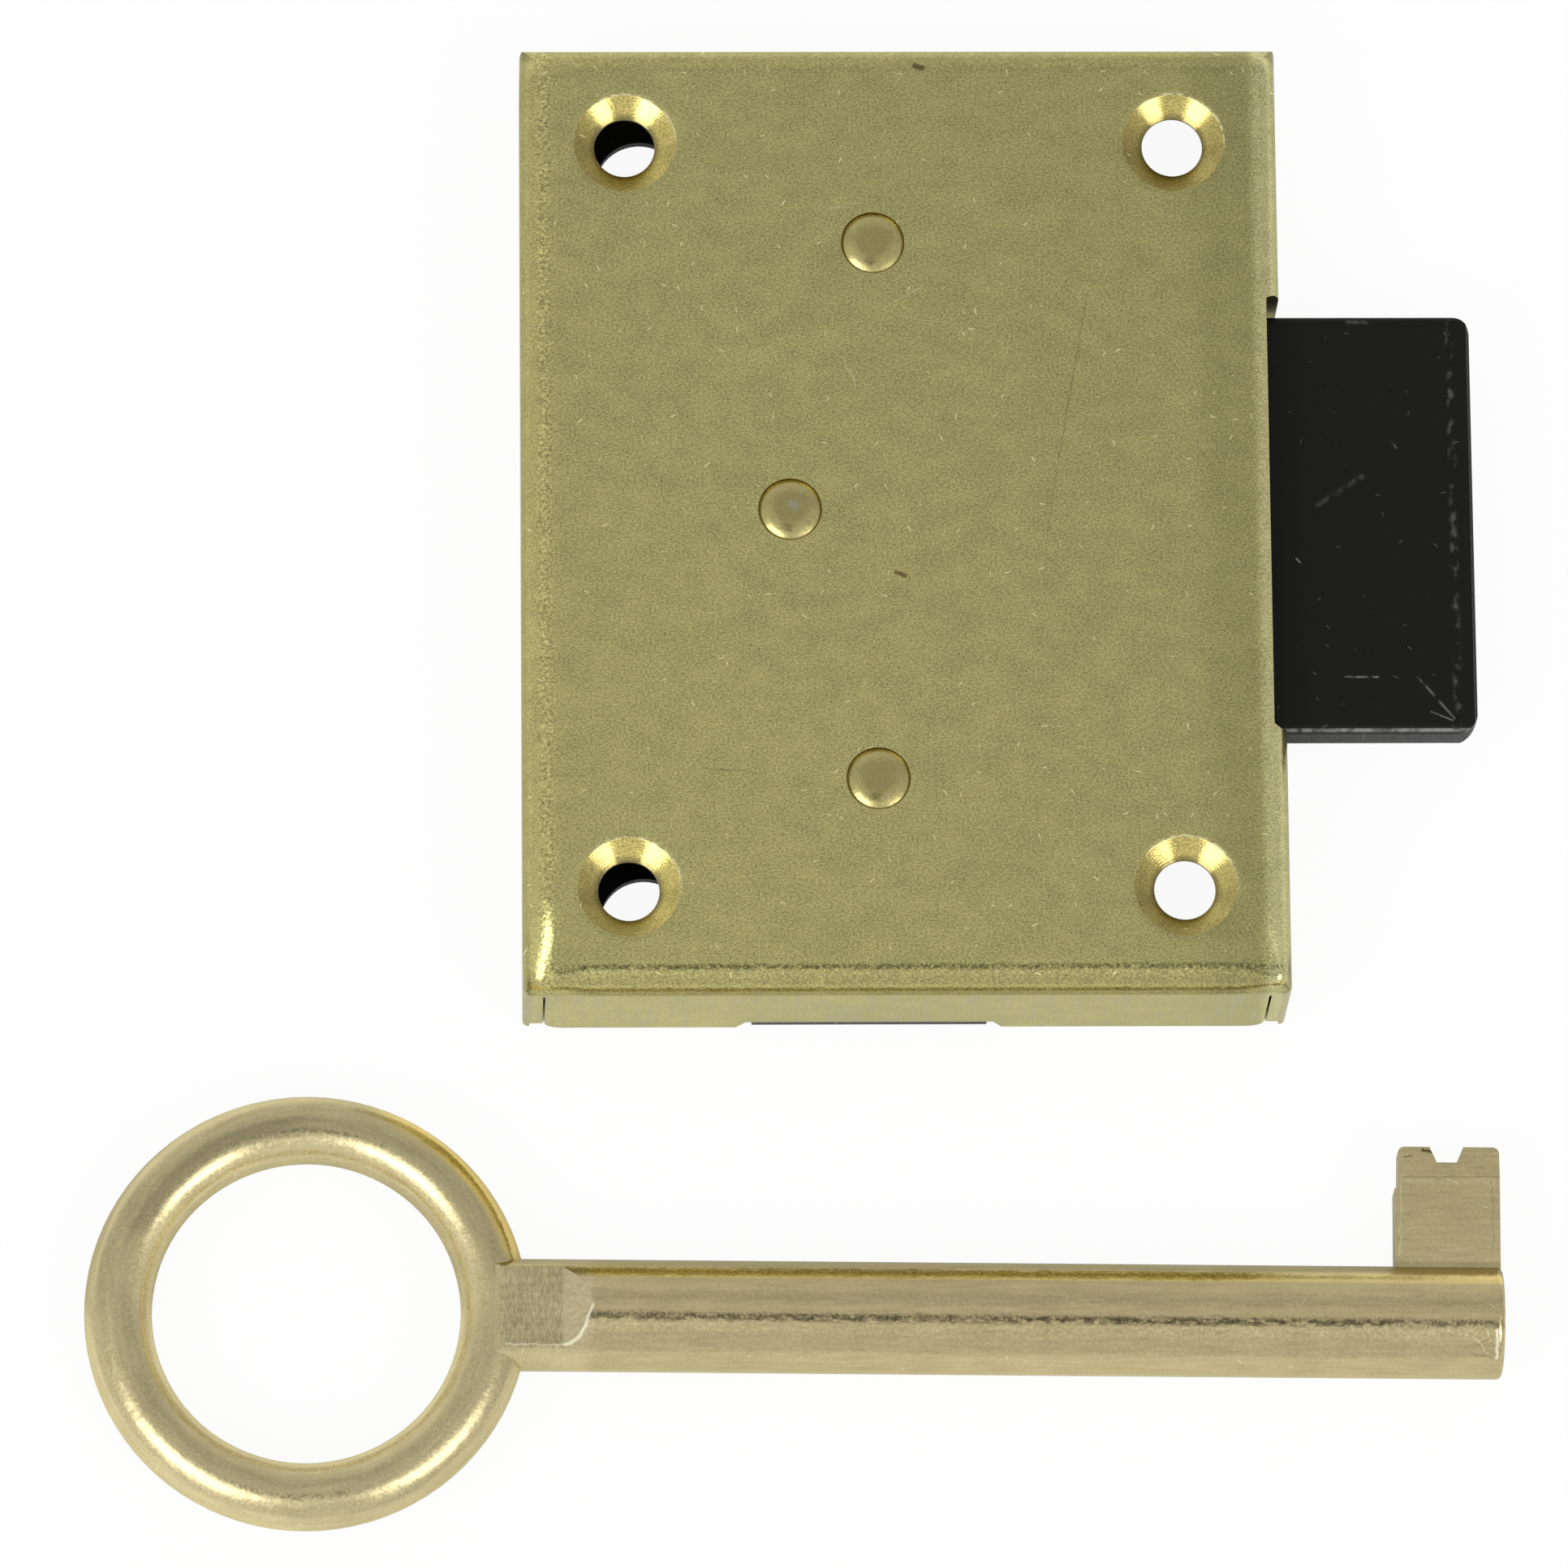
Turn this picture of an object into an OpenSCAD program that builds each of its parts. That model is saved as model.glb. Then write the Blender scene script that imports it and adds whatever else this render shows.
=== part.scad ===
// Straight cupboard lock with its pipe key
// A case folded from one sheet, a back plate let into its rim, a forked bolt
// and two levers on a post. The drill pin stands in the keyhole and carries the key.
// The origin is on the key axis, in the plane of the rim that lies on the door.
// X points to the bolt, Y points up the door and Z comes out through the face.

/* [Case] */
// Width of the case from the tail edge to the bolt edge
case_w = 50; // [42:0.5:70]
// Height of the case
case_h = 64.5; // [58:0.5:90]
// Depth of the case from its rim to its face
case_d = 10; // [9:0.1:14]
// Thickness of the case sheet
sheet = 1.3; // [0.8:0.1:1.6]
// Inside radius of the folds
bend_r = 0.5; // [0.2:0.05:1]
// Distance from the key axis to the bolt edge of the case
backset = 32.4; // [30:0.1:40]
// Height of the key axis above the middle of the case
key_rise = 0.2; // [0:0.1:2]
// Width of the slit left at each folded corner
corner_slit = 0.15; // [0.05:0.05:0.4]
// Radius on the free corners of the folded flaps
flap_r = 1.2; // [0.4:0.1:2]
// Radius on the four upright corners of the case
corner_r = 0.5; // [0.2:0.1:1]

/* [Screw holes] */
// Distance of the screw holes from the side edges of the case
screw_in_x = 6.9; // [5:0.1:10]
// Distance of the screw holes from the top and bottom edges
screw_in_y = 6.85; // [5:0.05:9]
// Radius of a screw hole
screw_r = 2; // [1.5:0.1:2.5]
// Radius of the countersink at the face
csk_r = 3.35; // [2.8:0.05:4.5]
// Depth of the countersink
csk_depth = 1.05; // [0.5:0.05:1.2]

/* [Pillars and pins] */
// Distance of the two pillars from the key axis towards the bolt
pillar_x = 5.6; // [4:0.1:9]
// Distance of the pillars above and below the key axis
pillar_y = 18.3; // [17:0.1:22]
// Radius of a pillar between the plate and the face
pillar_r = 2.8; // [2.3:0.1:3.2]
// Radius of a riveted end
rivet_r = 2.05; // [1.5:0.05:2.4]
// Height that a riveted end stands above the face
rivet_proud = 0.1; // [0:0.02:0.3]
// Share of a riveted end that is flat
rivet_flat = 0.5; // [0.2:0.02:0.8]
// Height that the rim of a riveted end drops below that flat
rivet_drop = 0.28; // [0.05:0.01:0.35]
// Gap round a riveted end in its hole
rivet_gap = 0.03; // [0.02:0.01:0.1]
// Radius of the drill pin that the key slides over
drill_r = 2; // [1.5:0.05:2.3]
// Distance of the drill pin's free end from the door plane
drill_end = 0.8; // [0.2:0.1:2]
// Rounding of the free end of the drill pin and of the key's tip
tip_edge = 0.4; // [0.1:0.05:0.8]

/* [Back plate] */
// Thickness of the back plate
plate_t = 0.8; // [0.6:0.1:1.4]
// Distance of the plate behind the rim
plate_recess = 0.45; // [0.1:0.05:1]
// Gap between the plate and the walls
plate_gap = 0.15; // [0.05:0.05:0.4]
// Width of the tab that sits in the top or bottom wall
tab_w = 15.4; // [8:0.2:24]
// Distance of the tabs from the key axis towards the bolt
tab_x = 5.1; // [0:0.1:12]
// Gap at each side of a tab
tab_gap = 0.4; // [0.1:0.1:1]
// Slope at each mouth corner of a tab notch
tab_slope = 0.6; // [0.2:0.1:1.2]
// Radius of the two screw holes in the plate
plate_hole_r = 2.9; // [2.4:0.1:4]
// Shift of those holes from the screws towards the bolt
plate_hole_shift = 1.1; // [0:0.1:1.2]
// Distance from the key axis to the cut-away corners of the plate
plate_step_x = 15; // [10:0.5:20]
// Height of the narrow part of the plate behind the bolt
plate_nose_h = 38; // [32:0.5:44]

/* [Bolt] */
// Height of the bolt head
bolt_h = 28.6; // [20:0.2:29]
// Thickness of the bolt
bolt_t = 3.2; // [2.6:0.1:3.8]
// Travel of the bolt
throw = 12.7; // [10:0.1:14]
// Rounding of the long edges of the bolt head
bolt_edge = 0.6; // [0.2:0.1:1]
// Rounding of the corners of the bolt head seen from the face
bolt_corner = 1.4; // [0.3:0.1:3]
// Rounding of the back edge at the bolt's end
bolt_nose = 2.2; // [0.6:0.1:2.4]
// Gap at each end of the bolt in its notch
notch_gap = 0.55; // [0.2:0.05:1]
// Angle that the bolt notch runs up round the fold
notch_turn = 60; // [20:5:75]
// Corner radius of the bolt notch
notch_r = 0.8; // [0.3:0.1:2]
// Gap between the bolt's tail and the pillars that guide it
guide_gap = 0.2; // [0.1:0.05:0.5]
// Gap between the bolt's thick pads and the case or plate
pad_gap = 0.15; // [0.05:0.05:0.4]
// Gap between the bolt's shoulders and the bolt edge wall
shoulder_gap = 0.1; // [0.05:0.05:0.5]
// Thickness of the bolt's two tail arms
arm_t = 1.1; // [0.9:0.1:2]
// Width of the talon that the key turns in
talon_w = 3.8; // [3:0.1:5]
// Width of the tooth at the tail side of the talon
tooth_w = 2.8; // [1.5:0.1:5]
// Radius of the stump that the levers block
stump_r = 1.1; // [0.7:0.1:1.5]

/* [Levers] */
// Gap in front of and behind each lever
lever_gap = 0.3; // [0.1:0.05:0.5]
// Distance of the lever post from the tail wall
post_wall = 3.5; // [3:0.1:6]
// Height of the lever post above the key axis
post_y = 17.8; // [16:0.1:20]
// Radius of the lever post
post_r = 1.25; // [0.9:0.05:1.6]
// Gap between a lever and its post
post_gap = 0.05; // [0.02:0.01:0.1]
// Radius of a lever's hub
hub_r = 2.9; // [2.4:0.1:3.2]
// Angle that the levers lift while the bolt draws back
lever_lift = 4.54; // [3:0.02:6]
// Angle at which the key holds the levers
key_lift = 2.9; // [1.5:0.1:4]
// Height of the stump above the key axis
stump_y = 9.5; // [8.5:0.1:10.5]
// Bolt travel before the stump reaches the gate
gate_lead = 4.4; // [3.5:0.1:5]
// Width of the bar that holds the gate
gate_w = 2.2; // [1.4:0.1:3]
// Gap between the stump and the edges of its window
window_gap = 0.25; // [0.15:0.05:0.5]
// Least width of metal round the window
lever_bar = 1.8; // [1:0.1:2.4]
// Thickness of a lever spring
spring_t = 0.3; // [0.2:0.05:0.5]
// Depth of the slit that grips a lever spring
spring_grip = 1.6; // [0.8:0.1:2]
// Gap between a lever spring and its slit or the top wall
spring_gap = 0.03; // [0.02:0.01:0.1]

/* [Key] */
// Length of the key
key_len = 92; // [70:0.5:120]
// Radius of the key's shank
shank_r = 3.65; // [3:0.05:4.2]
// Outer radius of the key's ring
ring_r = 14.4; // [11:0.05:18]
// Radius of the ring's round section
ring_bar_r = 2.2; // [1.6:0.05:2.5]
// Depth of the flats beside the ring
flat_depth = 1.1; // [0.4:0.1:1.8]
// Length of the flats from the ring's rim
flat_len = 2.2; // [1:0.1:10]
// Length of the ramp at the end of a flat
ramp_len = 1.9; // [0.8:0.05:5]
// Radius from the key axis to the end of the bit
bit_r = 11.6; // [10:0.1:12.2]
// Thickness of the bit
bit_t = 2.4; // [1.6:0.1:3]
// Gap at each side of the bit inside the lock
bit_gap = 0.3; // [0.1:0.05:0.8]
// Length of the bevels at the end of the bit
bevel_len = 1.9; // [0.5:0.05:3]
// Thickness left at the end of the bit
bevel_t = 1.5; // [0.8:0.1:2]
// Depth of the notch in the end of the bit
bit_notch_d = 1.1; // [0.5:0.1:1.6]
// Gap round the bolt's arm in that notch
bit_notch_gap = 0.1; // [0.05:0.05:0.3]
// Distance from the bit to the tip of the shank
bit_back = 0.1; // [0.05:0.05:1]
// Rounding of the corners at the end of the bit
bit_corner = 0.45; // [0.1:0.05:0.8]
// Depth of the step in the side of the bit next to the ring
bit_step = 0.25; // [0.05:0.05:0.6]
// Radius from the key axis to that step
bit_step_r = 8.7; // [6:0.1:9.5]
// Gap between the key's bore and the drill pin
bore_gap = 0.12; // [0.05:0.01:0.3]
// Depth of the key's bore
bore_depth = 12; // [9:0.5:20]
// Gap round the key in the keyhole
keyhole_gap = 0.3; // [0.15:0.05:0.8]
// Place of the key's tip along the door
key_tip_x = 45.9; // [30:0.1:70]
// Distance of the loose key's axis below the case
key_off = 20; // [16:0.5:60]
// Angle that the loose key lies turned about its ring
key_turn = -0.7; // [-8:0.1:8]

/* [Hidden] */
$fn = 64;
over = 1;
// places of the walls
tail_x = backset - case_w;
mid_x = backset - case_w / 2;
mid_y = -key_rise;
top_y = mid_y + case_h / 2;
low_y = mid_y - case_h / 2;
bend_out = bend_r + sheet;
screw_x = case_w / 2 - screw_in_x;
screw_y = case_h / 2 - screw_in_y;
// levels from the door plane
face_in = case_d - sheet;
plate_in = plate_recess + plate_t;
bolt_z = (face_in + plate_in) / 2;
bolt_back = bolt_z - bolt_t / 2;
bolt_front = bolt_z + bolt_t / 2;
lever_t = face_in - bolt_front - 2 * lever_gap;
front_z = bolt_front + lever_gap;
rear_z = bolt_back - lever_gap - lever_t;
// places on the bolt when it is thrown
bolt_end = backset + throw;
shoulder_x = backset - sheet - shoulder_gap;
web_x = shank_r + 0.5 + throw;
tail_half = pillar_y - pillar_r - guide_gap;
bit_low_r = bit_r - bit_notch_d;
talon_x = throw / 2;
arm_low = sqrt(bit_low_r * bit_low_r - talon_x * talon_x);
arm_end = talon_x - talon_w / 2 - tooth_w;
stump_x = bit_r + stump_r + 0.3 + throw;
notch_half = bolt_h / 2 + notch_gap;
// the bit's width follows the room between the plate and the face
bit_w = face_in - plate_in - 2 * bit_gap;
// the lever post and what the levers do about it
post = [tail_x + sheet + post_wall, post_y];
function turned(v, a) = [v.x * cos(a) - v.y * sin(a), v.x * sin(a) + v.y * cos(a)];
// where the stump lies in a resting lever after the bolt has drawn back by s
function stump_at(s) = post + turned([stump_x - s, stump_y] - post, -lever_lift * s / throw);
belly = post + turned(-post, -key_lift);
lead_at = stump_at(gate_lead);
gate_at = stump_at(gate_lead + gate_w + 2 * stump_r);
drawn_at = stump_at(throw);
stump_room = stump_r + window_gap;
gate_x = lead_at.x - stump_r;
lever_end = stump_x + stump_room + lever_bar;
lever_low = drawn_at.y - stump_room - lever_bar;
lever_top = pillar_y - pillar_r - 0.35 - (pillar_x + pillar_r - post.x) * sin(lever_lift);
pad_top = lever_low - 0.8;
spring_x = pillar_x + pillar_r + 0.9;
spring_foot = lever_top + 0.6;
spring_r = top_y - sheet - spring_gap - spring_t / 2 - spring_foot;
// the key
bore_r = drill_r + bore_gap;
ring_mid = ring_r - ring_bar_r;
ring_x = key_tip_x - key_len + ring_r;
key_y = low_y - key_off;

// Turns a drawing so that its x runs along Y, its y along Z, and it extrudes along X
module along_x(length) {
    rotate([90, 0, 90]) linear_extrude(height = length) children();
}

// Turns a drawing so that its x runs along X, its y along Z, and it extrudes towards the viewer
module along_y(length) {
    rotate([90, 0, 0]) linear_extrude(height = length) children();
}

// A block from low to high with its two top corners rounded
module folded(left, right, low, high, r) {
    translate([left, low]) square([right - left, high - r - low]);
    translate([left + r, low]) square([right - left - 2 * r, high - low]);
    translate([left + r, high - r]) circle(r);
    translate([right - r, high - r]) circle(r);
}

// What a rounded corner takes off: the corner is at the origin, pointing to -x and -y
module corner_waste(r) {
    difference() {
        translate([-over, -over]) square([over + r, over + r]);
        translate([r, r]) circle(r);
    }
}

// The folded block that a sheet of some thickness encloses or fills
module folded_block(inset, low, r) {
    intersection() {
        translate([0, top_y - inset, 0])
            along_y(case_h - 2 * inset)
                folded(tail_x + inset, backset - inset, low, case_d - inset, r);
        translate([tail_x + inset, 0, 0])
            along_x(case_w - 2 * inset)
                folded(low_y + inset, top_y - inset, low, case_d - inset, r);
    }
}

// Puts a copy at each of the four screws
module at_screws() {
    for (i = [-1, 1], j = [-1, 1])
        translate([mid_x + i * screw_x, mid_y + j * screw_y, 0])
            children();
}

module screw_hole() {
    slope = (csk_r - screw_r) / csk_depth;
    translate([0, 0, face_in - over]) cylinder(h = sheet + 2 * over, r = screw_r);
    translate([0, 0, case_d - csk_depth])
        cylinder(h = csk_depth + 0.2, r1 = screw_r, r2 = csk_r + 0.2 * slope);
}

// The notch that the bolt passes through, cut square to the sheet as it turns round the fold
module bolt_notch() {
    turn_x = backset - bend_out;
    turn_z = case_d - bend_out;
    out_x = turn_x + bend_out * cos(notch_turn);
    out_z = turn_z + bend_out * sin(notch_turn);
    in_x = turn_x + bend_r * cos(notch_turn);
    in_z = turn_z + bend_r * sin(notch_turn);
    intersection() {
        translate([0, notch_half + over, 0])
            along_y(2 * notch_half + 2 * over)
                polygon([[in_x, -over], [in_x, in_z], [out_x, out_z],
                    [backset + over, out_z], [backset + over, -over]]);
        translate([turn_x - over, 0, 0])
            along_x(bend_out + 2 * over)
                folded(-notch_half, notch_half, -over, out_z + notch_r / 5, notch_r);
    }
}

// The notch in the top or bottom wall that takes a tab of the plate
module tab_notch() {
    half = tab_w / 2 + tab_gap;
    polygon([[-half - tab_slope - tab_slope * over / plate_in, -over],
        [-half, plate_in + plate_gap / 2], [half, plate_in + plate_gap / 2],
        [half + tab_slope + tab_slope * over / plate_in, -over]]);
}

module case() {
    slit_top = case_d - bend_out - 0.3;
    color([0.61, 0.59, 0.37])
    difference() {
        folded_block(0, 0, bend_out);
        folded_block(sheet, -over, bend_r);
        at_screws() screw_hole();
        for (y = [-pillar_y, 0, pillar_y])
            translate([y == 0 ? 0 : pillar_x, y, face_in - over])
                cylinder(h = sheet + 2 * over, r = rivet_r + rivet_gap);
        bolt_notch();
        for (y = [low_y, top_y - sheet]) {
            translate([tab_x, y + sheet + 0.05, 0]) along_y(sheet + 0.1) tab_notch();
            // the corner slits, and the rounded corners of the flaps beside them
            for (side = [0, 1])
                translate([side * (tail_x + backset), 0, 0]) mirror([side, 0, 0]) {
                    translate([tail_x + sheet, y - 0.05, -over])
                        cube([corner_slit, sheet + 0.1, over + slit_top]);
                    translate([tail_x + sheet + corner_slit, y + sheet + 0.05, 0])
                        along_y(sheet + 0.1) corner_waste(flap_r);
                }
        }
        // rounded corners of the two side walls
        for (x = [tail_x - 0.05, backset - sheet - 0.05]) {
            translate([x, low_y, 0]) along_x(sheet + 0.1) corner_waste(flap_r / 2);
            translate([x, top_y, 0]) mirror([0, 1, 0]) along_x(sheet + 0.1) corner_waste(flap_r / 2);
        }
        // the upright corners
        for (i = [0, 1], j = [0, 1])
            translate([i * (tail_x + backset), j * (low_y + top_y), -over])
                mirror([i, 0, 0]) mirror([0, j, 0])
                    translate([tail_x, low_y, 0])
                        linear_extrude(height = case_d + 2 * over) corner_waste(corner_r);
    }
}

module back_plate() {
    left = tail_x + sheet + plate_gap;
    right = backset - sheet - plate_gap;
    half = case_h / 2 - sheet - plate_gap;
    color([0.12, 0.12, 0.11])
    translate([0, 0, plate_recess])
    linear_extrude(height = plate_t)
    difference() {
        union() {
            translate([left, mid_y - half]) square([plate_step_x - left, 2 * half]);
            translate([left, mid_y - plate_nose_h / 2]) square([right - left, plate_nose_h]);
            translate([tab_x - tab_w / 2, low_y + 0.05]) square([tab_w, case_h - 0.1]);
        }
        for (j = [-1, 1])
            translate([mid_x - screw_x + plate_hole_shift, mid_y + j * screw_y])
                circle(plate_hole_r);
        for (y = [-pillar_y, pillar_y]) translate([pillar_x, y]) circle(rivet_r + rivet_gap);
        translate(post) circle(post_r + rivet_gap);
        circle(shank_r + keyhole_gap);
        translate([-bit_t / 2 - keyhole_gap, -bit_r - keyhole_gap])
            square([bit_t + 2 * keyhole_gap, bit_r + keyhole_gap]);
    }
}

// A round rod with a rounded rim, standing on z = 0
module rod(r, h, edge) {
    rotate_extrude() {
        square([r, h - edge]);
        square([r - edge, h]);
        translate([r - edge, h - edge]) intersection() {
            circle(edge);
            square(edge);
        }
    }
}

// A riveted end, flat in the middle and hammered down towards its rim, standing on z = 0
module riveted_end(r, h) {
    flat = r * rivet_flat;
    below = (r * r - flat * flat + rivet_drop * rivet_drop) / (2 * rivet_drop);
    rotate_extrude() intersection() {
        translate([0, h - below]) circle(norm([flat, below]));
        square([r, h]);
    }
}

module pillar() {
    translate([0, 0, plate_in]) cylinder(h = face_in - plate_in, r = pillar_r);
    translate([0, 0, face_in - 0.1])
        riveted_end(rivet_r, sheet + rivet_proud + 0.1);
    translate([0, 0, plate_in + 0.1]) mirror([0, 0, 1])
        riveted_end(rivet_r, plate_t + rivet_proud + 0.1);
}

module upper_pillar() {
    color([0.66, 0.6, 0.4]) translate([pillar_x, pillar_y, 0]) pillar();
}

module lower_pillar() {
    color([0.66, 0.6, 0.4]) translate([pillar_x, -pillar_y, 0]) pillar();
}

module drill_pin() {
    color([0.66, 0.6, 0.4]) {
        translate([0, 0, face_in])
            riveted_end(rivet_r, sheet + rivet_proud);
        translate([0, 0, face_in + 0.1]) mirror([0, 0, 1])
            rod(drill_r, face_in + 0.1 - drill_end, tip_edge);
    }
}

module lever_post() {
    color([0.6, 0.58, 0.52]) translate(post) {
        translate([0, 0, plate_in]) cylinder(h = lever_gap, r = hub_r - 0.3);
        translate([0, 0, plate_in + 0.1])
            cylinder(h = face_in - pad_gap - plate_in - 0.1, r = post_r);
        translate([0, 0, plate_in + 0.1]) mirror([0, 0, 1])
            riveted_end(post_r, plate_t + rivet_proud + 0.1);
    }
}

// Keeps the two levers apart, one on each side of the bolt
module lever_spacer() {
    low = rear_z + lever_t + post_gap;
    color([0.7, 0.62, 0.36]) translate([post.x, post.y, low]) difference() {
        cylinder(h = front_z - post_gap - low, r = hub_r - 0.6);
        translate([0, 0, -over]) cylinder(h = case_d, r = post_r + post_gap);
    }
}

// The section of the bolt's end: its lower corner has one radius and its upper corner another
module nosed(length, t, low_r, high_r) {
    square([length - low_r, t - high_r]);
    translate([0, low_r]) square([length, t - low_r - high_r]);
    translate([0, t - high_r - 0.01]) square([length - high_r, high_r + 0.01]);
    translate([length - low_r, low_r]) circle(low_r);
    translate([length - high_r, t - high_r]) circle(high_r);
}

module bolt_head() {
    length = bolt_end - shoulder_x + over;
    nose = min(bolt_nose, bolt_t - bolt_edge - 0.2);
    translate([shoulder_x - over, 0, 0]) intersection() {
        translate([0, bolt_h / 2, bolt_back])
            along_y(bolt_h) nosed(length, bolt_t, nose, bolt_edge);
        translate([0, 0, bolt_back]) along_x(length)
            intersection() {
                folded(-bolt_h / 2, bolt_h / 2, 0, bolt_t, bolt_edge);
                translate([0, bolt_t]) mirror([0, 1])
                    folded(-bolt_h / 2, bolt_h / 2, 0, bolt_t, bolt_edge);
            }
        translate([0, 0, bolt_back - over]) linear_extrude(height = bolt_t + 2 * over)
            rotate([0, 0, -90]) folded(-bolt_h / 2, bolt_h / 2, 0, length, bolt_corner);
    }
}

// Outline of the two arms that pass above and below the key
module bolt_arms() {
    difference() {
        union() {
            translate([arm_end, arm_low]) square([web_x - arm_end + over, tail_half - arm_low]);
            translate([arm_end, -tail_half])
                square([web_x - arm_end + over, tail_half - bit_r - 1.2]);
        }
        translate([talon_x - talon_w / 2, arm_low - over])
            square([talon_w, over + bit_low_r + 0.4 - arm_low]);
    }
}

module bolt() {
    color([0.1, 0.1, 0.1])
    difference() {
        union() {
            bolt_head();
            translate([web_x, -tail_half, bolt_back])
                cube([shoulder_x - web_x, 2 * tail_half, bolt_t]);
            translate([0, 0, bolt_z - arm_t / 2]) linear_extrude(height = arm_t) bolt_arms();
            // thick pads that slide between the plate and the face
            translate([web_x, 0.5 - tail_half, plate_in + pad_gap])
                cube([shoulder_x - web_x - 0.5, tail_half - 0.5 + pad_top,
                    face_in - plate_in - 2 * pad_gap]);
        }
        translate([stump_x, stump_y, bolt_back - over])
            cylinder(h = bolt_t + 2 * over, r = stump_r + 0.01);
    }
}

module bolt_stump() {
    reach = face_in - plate_in - 2 * lever_gap;
    color([0.62, 0.6, 0.55])
        translate([stump_x, stump_y, bolt_z - reach / 2]) cylinder(h = reach, r = stump_r);
}

// The opening that the stump moves in: two pockets joined by the gate
module lever_window() {
    high = stump_y + stump_room;
    translate([gate_x, lead_at.y - stump_room])
        square([stump_x + stump_room - gate_x, high - lead_at.y + stump_room]);
    translate([gate_x - gate_w - 0.1, gate_at.y - stump_room])
        square([gate_w + 0.2, lead_at.y - gate_at.y + 2 * stump_room]);
    translate([drawn_at.x - stump_room, drawn_at.y - stump_room])
        square([gate_x - gate_w - drawn_at.x + stump_room, high - drawn_at.y + stump_room]);
}

module lever() {
    neck_x = pillar_x - pillar_r - 1.3;
    difference() {
        union() {
            linear_extrude(height = lever_t) difference() {
                polygon([[post.x, post.y + hub_r - 0.3], [neck_x, lever_top], [lever_end, lever_top],
                    [lever_end, lever_low], [belly.x, lever_low], [belly.x - bit_r, bit_r - 3.4],
                    [post.x, post.y - hub_r + 0.3]]);
                translate(belly) circle(bit_r);
                lever_window();
                translate([spring_x - spring_t / 2 - spring_gap, lever_top - spring_grip])
                    square([spring_t + 2 * spring_gap, spring_grip + over]);
            }
            translate(post) cylinder(h = lever_t, r = hub_r);
        }
        translate([post.x, post.y, -over]) cylinder(h = lever_t + 2 * over, r = post_r + post_gap);
    }
}

module front_lever() {
    color([0.76, 0.66, 0.36]) translate([0, 0, front_z]) lever();
}

module rear_lever() {
    color([0.76, 0.66, 0.36]) translate([0, 0, rear_z]) lever();
}

// A strip gripped by the lever's top edge that bows up against the top wall
module lever_spring() {
    root = lever_top - spring_grip + spring_gap;
    translate([spring_x - spring_t / 2, root, 0.15])
        cube([spring_t, spring_foot - root, lever_t - 0.3]);
    translate([spring_x + spring_r, spring_foot, 0.15])
        rotate([0, 0, 90]) rotate_extrude(angle = 90)
            translate([spring_r - spring_t / 2, 0]) square([spring_t, lever_t - 0.3]);
}

module front_lever_spring() {
    color([0.7, 0.7, 0.68]) translate([0, 0, front_z]) lever_spring();
}

module rear_lever_spring() {
    color([0.7, 0.7, 0.68]) translate([0, 0, rear_z]) lever_spring();
}

// The bit, drawn with its length up and its thickness across
module bit_section() {
    polygon([[0, -bit_t / 2], [bit_r - bevel_len, -bit_t / 2], [bit_r, -bevel_t / 2],
        [bit_r, bevel_t / 2], [bit_r - bevel_len, bit_t / 2], [0, bit_t / 2]]);
}

// The bit seen from the side of the ring, with its step, its rounded corners and its notch
module bit_outline() {
    low = arm_t / 2 + bit_notch_gap;
    high = low + 0.45;
    difference() {
        polygon([[0, 0], [0, bit_step_r], [bit_step, bit_step_r + bit_step / 2], [bit_step, bit_r],
            [bit_w, bit_r], [bit_w, 0]]);
        translate([bit_step, bit_r]) mirror([0, 1]) corner_waste(bit_corner);
        translate([bit_w, bit_r]) mirror([0, 1]) mirror([1, 0]) corner_waste(bit_corner);
        translate([bit_w / 2, bit_r - bit_notch_d])
            polygon([[-low, 0], [low, 0], [high, bit_notch_d], [high, bit_notch_d + over],
                [-high, bit_notch_d + over], [-high, bit_notch_d]]);
    }
}

// The key lies on its ring's centre, with its shank along X
module key() {
    tip = key_len - ring_r;
    flat = shank_r - flat_depth;
    flat_x = ring_r + flat_len;
    bit_x = tip - bit_back - bit_w;
    color([0.75, 0.7, 0.5])
    translate([ring_x, key_y, shank_r])
    rotate([0, 0, key_turn])
    difference() {
        union() {
            rotate_extrude() translate([ring_mid, 0]) circle(ring_bar_r);
            translate([ring_mid, 0, 0]) rotate([0, 90, 0]) rod(shank_r, tip - ring_mid, tip_edge);
            intersection() {
                translate([bit_x, 0, 0]) along_x(bit_w) bit_section();
                translate([bit_x, 0, -bit_t]) linear_extrude(height = 2 * bit_t) bit_outline();
            }
        }
        // pipe bore for the drill pin
        translate([tip - bore_depth, 0, 0]) rotate([0, 90, 0])
            cylinder(h = bore_depth + over, r = bore_r);
        // flats on the shank beside the ring
        for (side = [0, 1]) mirror([0, 0, side])
            translate([0, shank_r + over, 0]) along_y(2 * shank_r + 2 * over)
                polygon([[ring_mid - over, ring_bar_r + 0.05], [ring_mid, ring_bar_r + 0.05],
                    [ring_mid + 0.7, flat], [flat_x, flat], [flat_x + ramp_len, shank_r],
                    [flat_x + ramp_len, shank_r + over], [ring_mid - over, shank_r + over]]);
    }
}

case();
back_plate();
upper_pillar();
lower_pillar();
drill_pin();
lever_post();
lever_spacer();
bolt();
bolt_stump();
front_lever();
rear_lever();
front_lever_spring();
rear_lever_spring();
key();
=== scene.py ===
# %% [markdown]
# # A cupboard lock and its key, dressed and lit
# The lock's solids come ready made from the frame, at their real size in metres. This file adds what
# the solids can't hold: the brass plating, the black coats, the wear, the light and the camera. Each step
# is a cell with a few words before it, so the file can be read as a lesson and run from top to bottom.

# %% Load the frame
import bpy
import math
from mathutils import Matrix, Vector


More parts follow.
